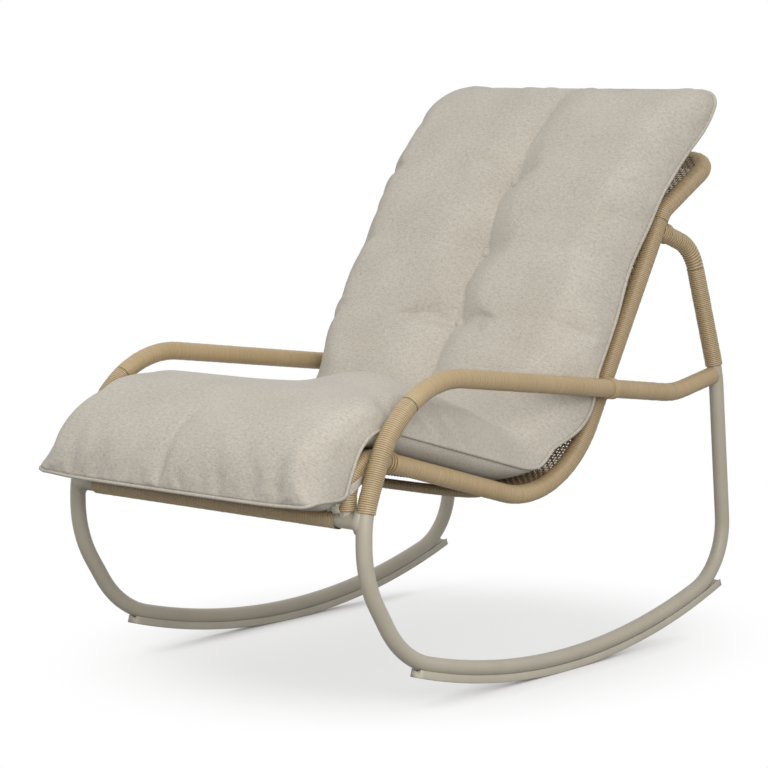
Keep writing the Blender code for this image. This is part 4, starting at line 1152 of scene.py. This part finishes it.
    def build_buttons(self):
        """Covered buttons with a rolled rim, pressed into the tufts."""
        for i, tuft in enumerate(self.tufts):
            at = np.array(tuft)
            _, tangent, _, _ = self.path.frame_at(at)
            normal = towards_sitter(tangent)
            middle = self.skin(at, np.array(0.0), True) + normal * BUTTON_LIFT
            turn = np.linspace(0, 2 * math.pi, BUTTON_SIDES, endpoint=False)[None, :]
            rim = np.radians(np.linspace(*BUTTON_RIM, BUTTON_ROWS))[:, None]
            reach = BUTTON_DIAMETER / 2 * np.cos(rim)
            rise = BUTTON_THICKNESS / 2 * np.sin(rim)
            flat = together(reach * np.cos(turn), reach * np.sin(turn))
            vertices = middle + flat[..., :1] * ACROSS + flat[..., 1:] * tangent + rise[..., None] * normal
            faces = sweep_faces(*vertices.shape[:2])
            node = [f"tuft_button_{i + 1}"]
            add_piece(f"button_{i + 1}", vertices, faces, "cushion_fabric", node, flat)


def swell(piece, held):
    """Fills the pad with air while its seam, tufts and underside are held, then keeps the shape."""
    mesh = piece.data
    before = np.zeros(len(mesh.vertices) * 3, np.float32)
    mesh.vertices.foreach_get("co", before)
    before = before.reshape(-1, 3)
    group = piece.vertex_groups.new(name="held")
    group.add(held, 1.0, "REPLACE")
    cloth = piece.modifiers.new("swell", "CLOTH")
    for name, value in SWELL.items():
        setattr(cloth.settings, name, value)
    cloth.settings.vertex_group_mass = "held"
    cloth.settings.effector_weights.gravity = 0
    scene = bpy.context.scene
    for number in range(1, SWELL_FRAMES + 1):
        scene.frame_set(number)
    result = piece.evaluated_get(bpy.context.evaluated_depsgraph_get()).data
    after = np.zeros_like(before).ravel()
    result.vertices.foreach_get("co", after)
    move = after.reshape(-1, 3) - before
    size = np.linalg.norm(move, axis=1, keepdims=True)
    kept = move * np.minimum(1, SWELL_CAP / np.maximum(size, 1e-9))
    piece.modifiers.remove(cloth)
    piece.vertex_groups.clear()
    scene.frame_set(1)
    mesh.vertices.foreach_set("co", (before + kept).astype(np.float32).ravel())
    mesh.update()


# Ties
def add_strap(name, line, across, replaces=()):
    """Flat strap with soft edges along a line, its width along the across vectors."""
    path = Path.through(line)
    across = unit(across - path.tangents * (across * path.tangents).sum(-1, keepdims=True))
    up = np.cross(path.tangents, across)
    half = [(-0.5, 0.3), (-0.42, 0.5), (0.42, 0.5), (0.5, 0.3)]
    outline = np.array(half + [(-a, -b) for a, b in half])
    wide = across[:, None, :] * outline[None, :, :1] * TIE_WIDTH
    thick = up[:, None, :] * outline[None, :, 1:] * TIE_THICKNESS
    vertices = path.points[:, None, :] + wide + thick
    rows, columns = vertices.shape[:2]
    uv = together(np.linspace(0, TIE_WIDTH, columns)[None, :], path.at[:, None])
    add_piece(name, vertices, sweep_faces(rows, columns), "cushion_fabric", replaces, uv)


def build_ties():
    """Fabric strap slung round the front end of each seat rail, from a knot at the cushion's corner."""
    rail = rail_line()
    outward = unit(np.array(TIE_FACING))
    sideways = np.array((-outward[1], outward[0], 0.0))
    turn = np.linspace(0, 2 * math.pi, 48)[:, None]
    place, tangent, _, _ = rail.frame_at(np.array(TIE_HEIGHT_ABOVE_BAR))
    reach = WRAP_RADIUS + TIE_THICKNESS
    loop = reach * (np.cos(turn) * outward + np.sin(turn) * sideways) + TIE_TILT * np.sin(turn) * tangent
    knot = reach * (KNOT_OUT * outward - KNOT_ASIDE * sideways) - TIE_TILT * tangent
    for prefix, sign in SIDES:
        flip = np.array((sign, 1, 1))
        centre = place + sign * RAIL_X * ACROSS
        width = np.broadcast_to(tangent, loop.shape)
        add_strap(prefix + "_tie_loop", centre + loop * flip, width, [prefix + "_cushion_tie"])
        build_knot(prefix, centre + knot * flip, sign)


def build_knot(prefix, knot, sign):
    """Two turns of strap drawn tight, and the short tails that hang from them."""
    turn = np.linspace(0, 2 * math.pi, 33)[:-1, None]
    for i, lean in enumerate(KNOT_LEANS):
        axis = Matrix.Rotation(math.radians(lean), 3, "Y")
        first, second = (np.array(axis @ Vector(v)) for v in ((0, 1, 0), (0, 0, 1)))
        ring = knot + KNOT_DEPTH * np.cos(turn) * first + KNOT_HEIGHT * np.sin(turn) * second
        name = f"{prefix}_tie_knot_{i + 1}"
        path = Path.through(ring)
        add_tube(name, path, KNOT_STRAP_RADIUS, "cushion_fabric", sides=KNOT_SIDES, closed=True)
    drop = np.linspace(0, 1, 12)[:, None]
    for i, lean in enumerate(TAIL_LEANS):
        down = np.array((sign * math.sin(math.radians(lean)), 0.0, -math.cos(math.radians(lean))))
        line = knot + down * TIE_TAIL * drop + np.array((0, -TAIL_BOW, 0)) * np.sin(drop * math.pi)
        across = np.array((sign, 0.6, 0.0)) + drop * np.array((0, 0.5 * (1 - 2 * i), 0.2))
        add_strap(f"{prefix}_tie_tail_{i + 1}", line, across)


# Stage
AMBIENT = 0.68
FLOOR_SIZE = 60.0
FLOOR_GAP = 0.0002
FLOOR_TONE = (0.9, 0.9, 0.9, 1)
FLOOR_BOUNCE = (0.16, 0.16, 0.16, 1)
FLOOR_WHITENESS = 0.57
SHADOW_MIDDLE = (0, 0.06, 0)
SHADOW_REACH = (0.46, 0.55, 1.0)
SHADOW_START = 0.60
SHADOW_END = 1.3
CONTACT_REACH = 0.045
LIGHT_TARGET = (0, 0, 0.4)
LIGHT_COLOUR = (1.0, 0.98, 0.95)
KEY_PLACE = (-1.6, -1.7, 3.3)
FILL_PLACE = (2.8, -2.2, 1.5)


def build_camera():
    data = bpy.data.cameras.new("photo_camera")
    data.lens = CAMERA_LENS
    data.sensor_width = 36.0
    camera = bpy.data.objects.new("photo_camera", data)
    camera.location = CAMERA_PLACE
    camera.rotation_euler = (math.radians(CAMERA_TILT), 0, math.radians(CAMERA_TURN))
    bpy.context.scene.collection.objects.link(camera)
    bpy.context.scene.camera = camera


def build_world():
    """Even light all round, in front of a white background."""
    world = bpy.data.worlds.new("studio")
    bpy.context.scene.world = world
    nodes = Nodes(world)
    light = nodes.tree.nodes["Background"]
    light.inputs["Color"].default_value = (1, 1, 1, 1)
    light.inputs["Strength"].default_value = AMBIENT
    white = nodes.node("ShaderNodeBackground", {"Color": (1, 1, 1, 1), "Strength": 1.0})
    nodes.show("World Output", nodes.seen_directly(), light, white)


def build_floor():
    """Pale floor that keeps the chair's shadow and turns to plain white further away."""
    bpy.ops.mesh.primitive_plane_add(size=FLOOR_SIZE, location=(0, 0, -FLOOR_GAP))
    floor = bpy.context.object
    floor.name = "floor"
    material = bpy.data.materials.new("floor")
    floor.data.materials.append(material)
    nodes = Nodes(material)
    nodes.tree.nodes.remove(nodes.tree.nodes["Principled BSDF"])
    seen = nodes.seen_directly()
    matte = nodes.node("ShaderNodeBsdfDiffuse", {"Color": nodes.mix(seen, FLOOR_BOUNCE, FLOOR_TONE)})
    white = nodes.node("ShaderNodeEmission", {"Strength": 1.0})
    centred = nodes.vector_math("SUBTRACT", nodes.on_object(), SHADOW_MIDDLE)["Vector"]
    scaled = nodes.vector_math("DIVIDE", centred, SHADOW_REACH)["Vector"]
    fade = {
        "Value": nodes.vector_math("LENGTH", scaled)["Value"],
        "From Min": SHADOW_START,
        "From Max": SHADOW_END,
        "To Min": FLOOR_WHITENESS,
    }
    share = nodes.node("ShaderNodeMapRange", fade, interpolation_type="SMOOTHSTEP").outputs["Result"]
    share = nodes.math("MULTIPLY", share, seen)
    contact = nodes.node("ShaderNodeAmbientOcclusion", {"Distance": CONTACT_REACH}).outputs["AO"]
    nodes.show("Material Output", nodes.math("MULTIPLY", share, contact), matte, white)


def add_light(name, place, size, power):
    data = bpy.data.lights.new(name, "AREA")
    data.shape = "DISK"
    data.size = size
    data.energy = power
    data.color = LIGHT_COLOUR
    light = bpy.data.objects.new(name, data)
    light.location = place
    light.rotation_euler = (Vector(LIGHT_TARGET) - Vector(place)).to_track_quat("-Z", "Y").to_euler()
    bpy.context.scene.collection.objects.link(light)


bpy.context.scene.view_settings.view_transform = "Standard"
build_camera()
build_world()
build_floor()
add_light("key", KEY_PLACE, size=2.4, power=24)
add_light("fill", FILL_PLACE, size=2.6, power=78)
build_frame()
build_wraps()
build_sling()
build_lashings()
Cushion().build()
build_ties()
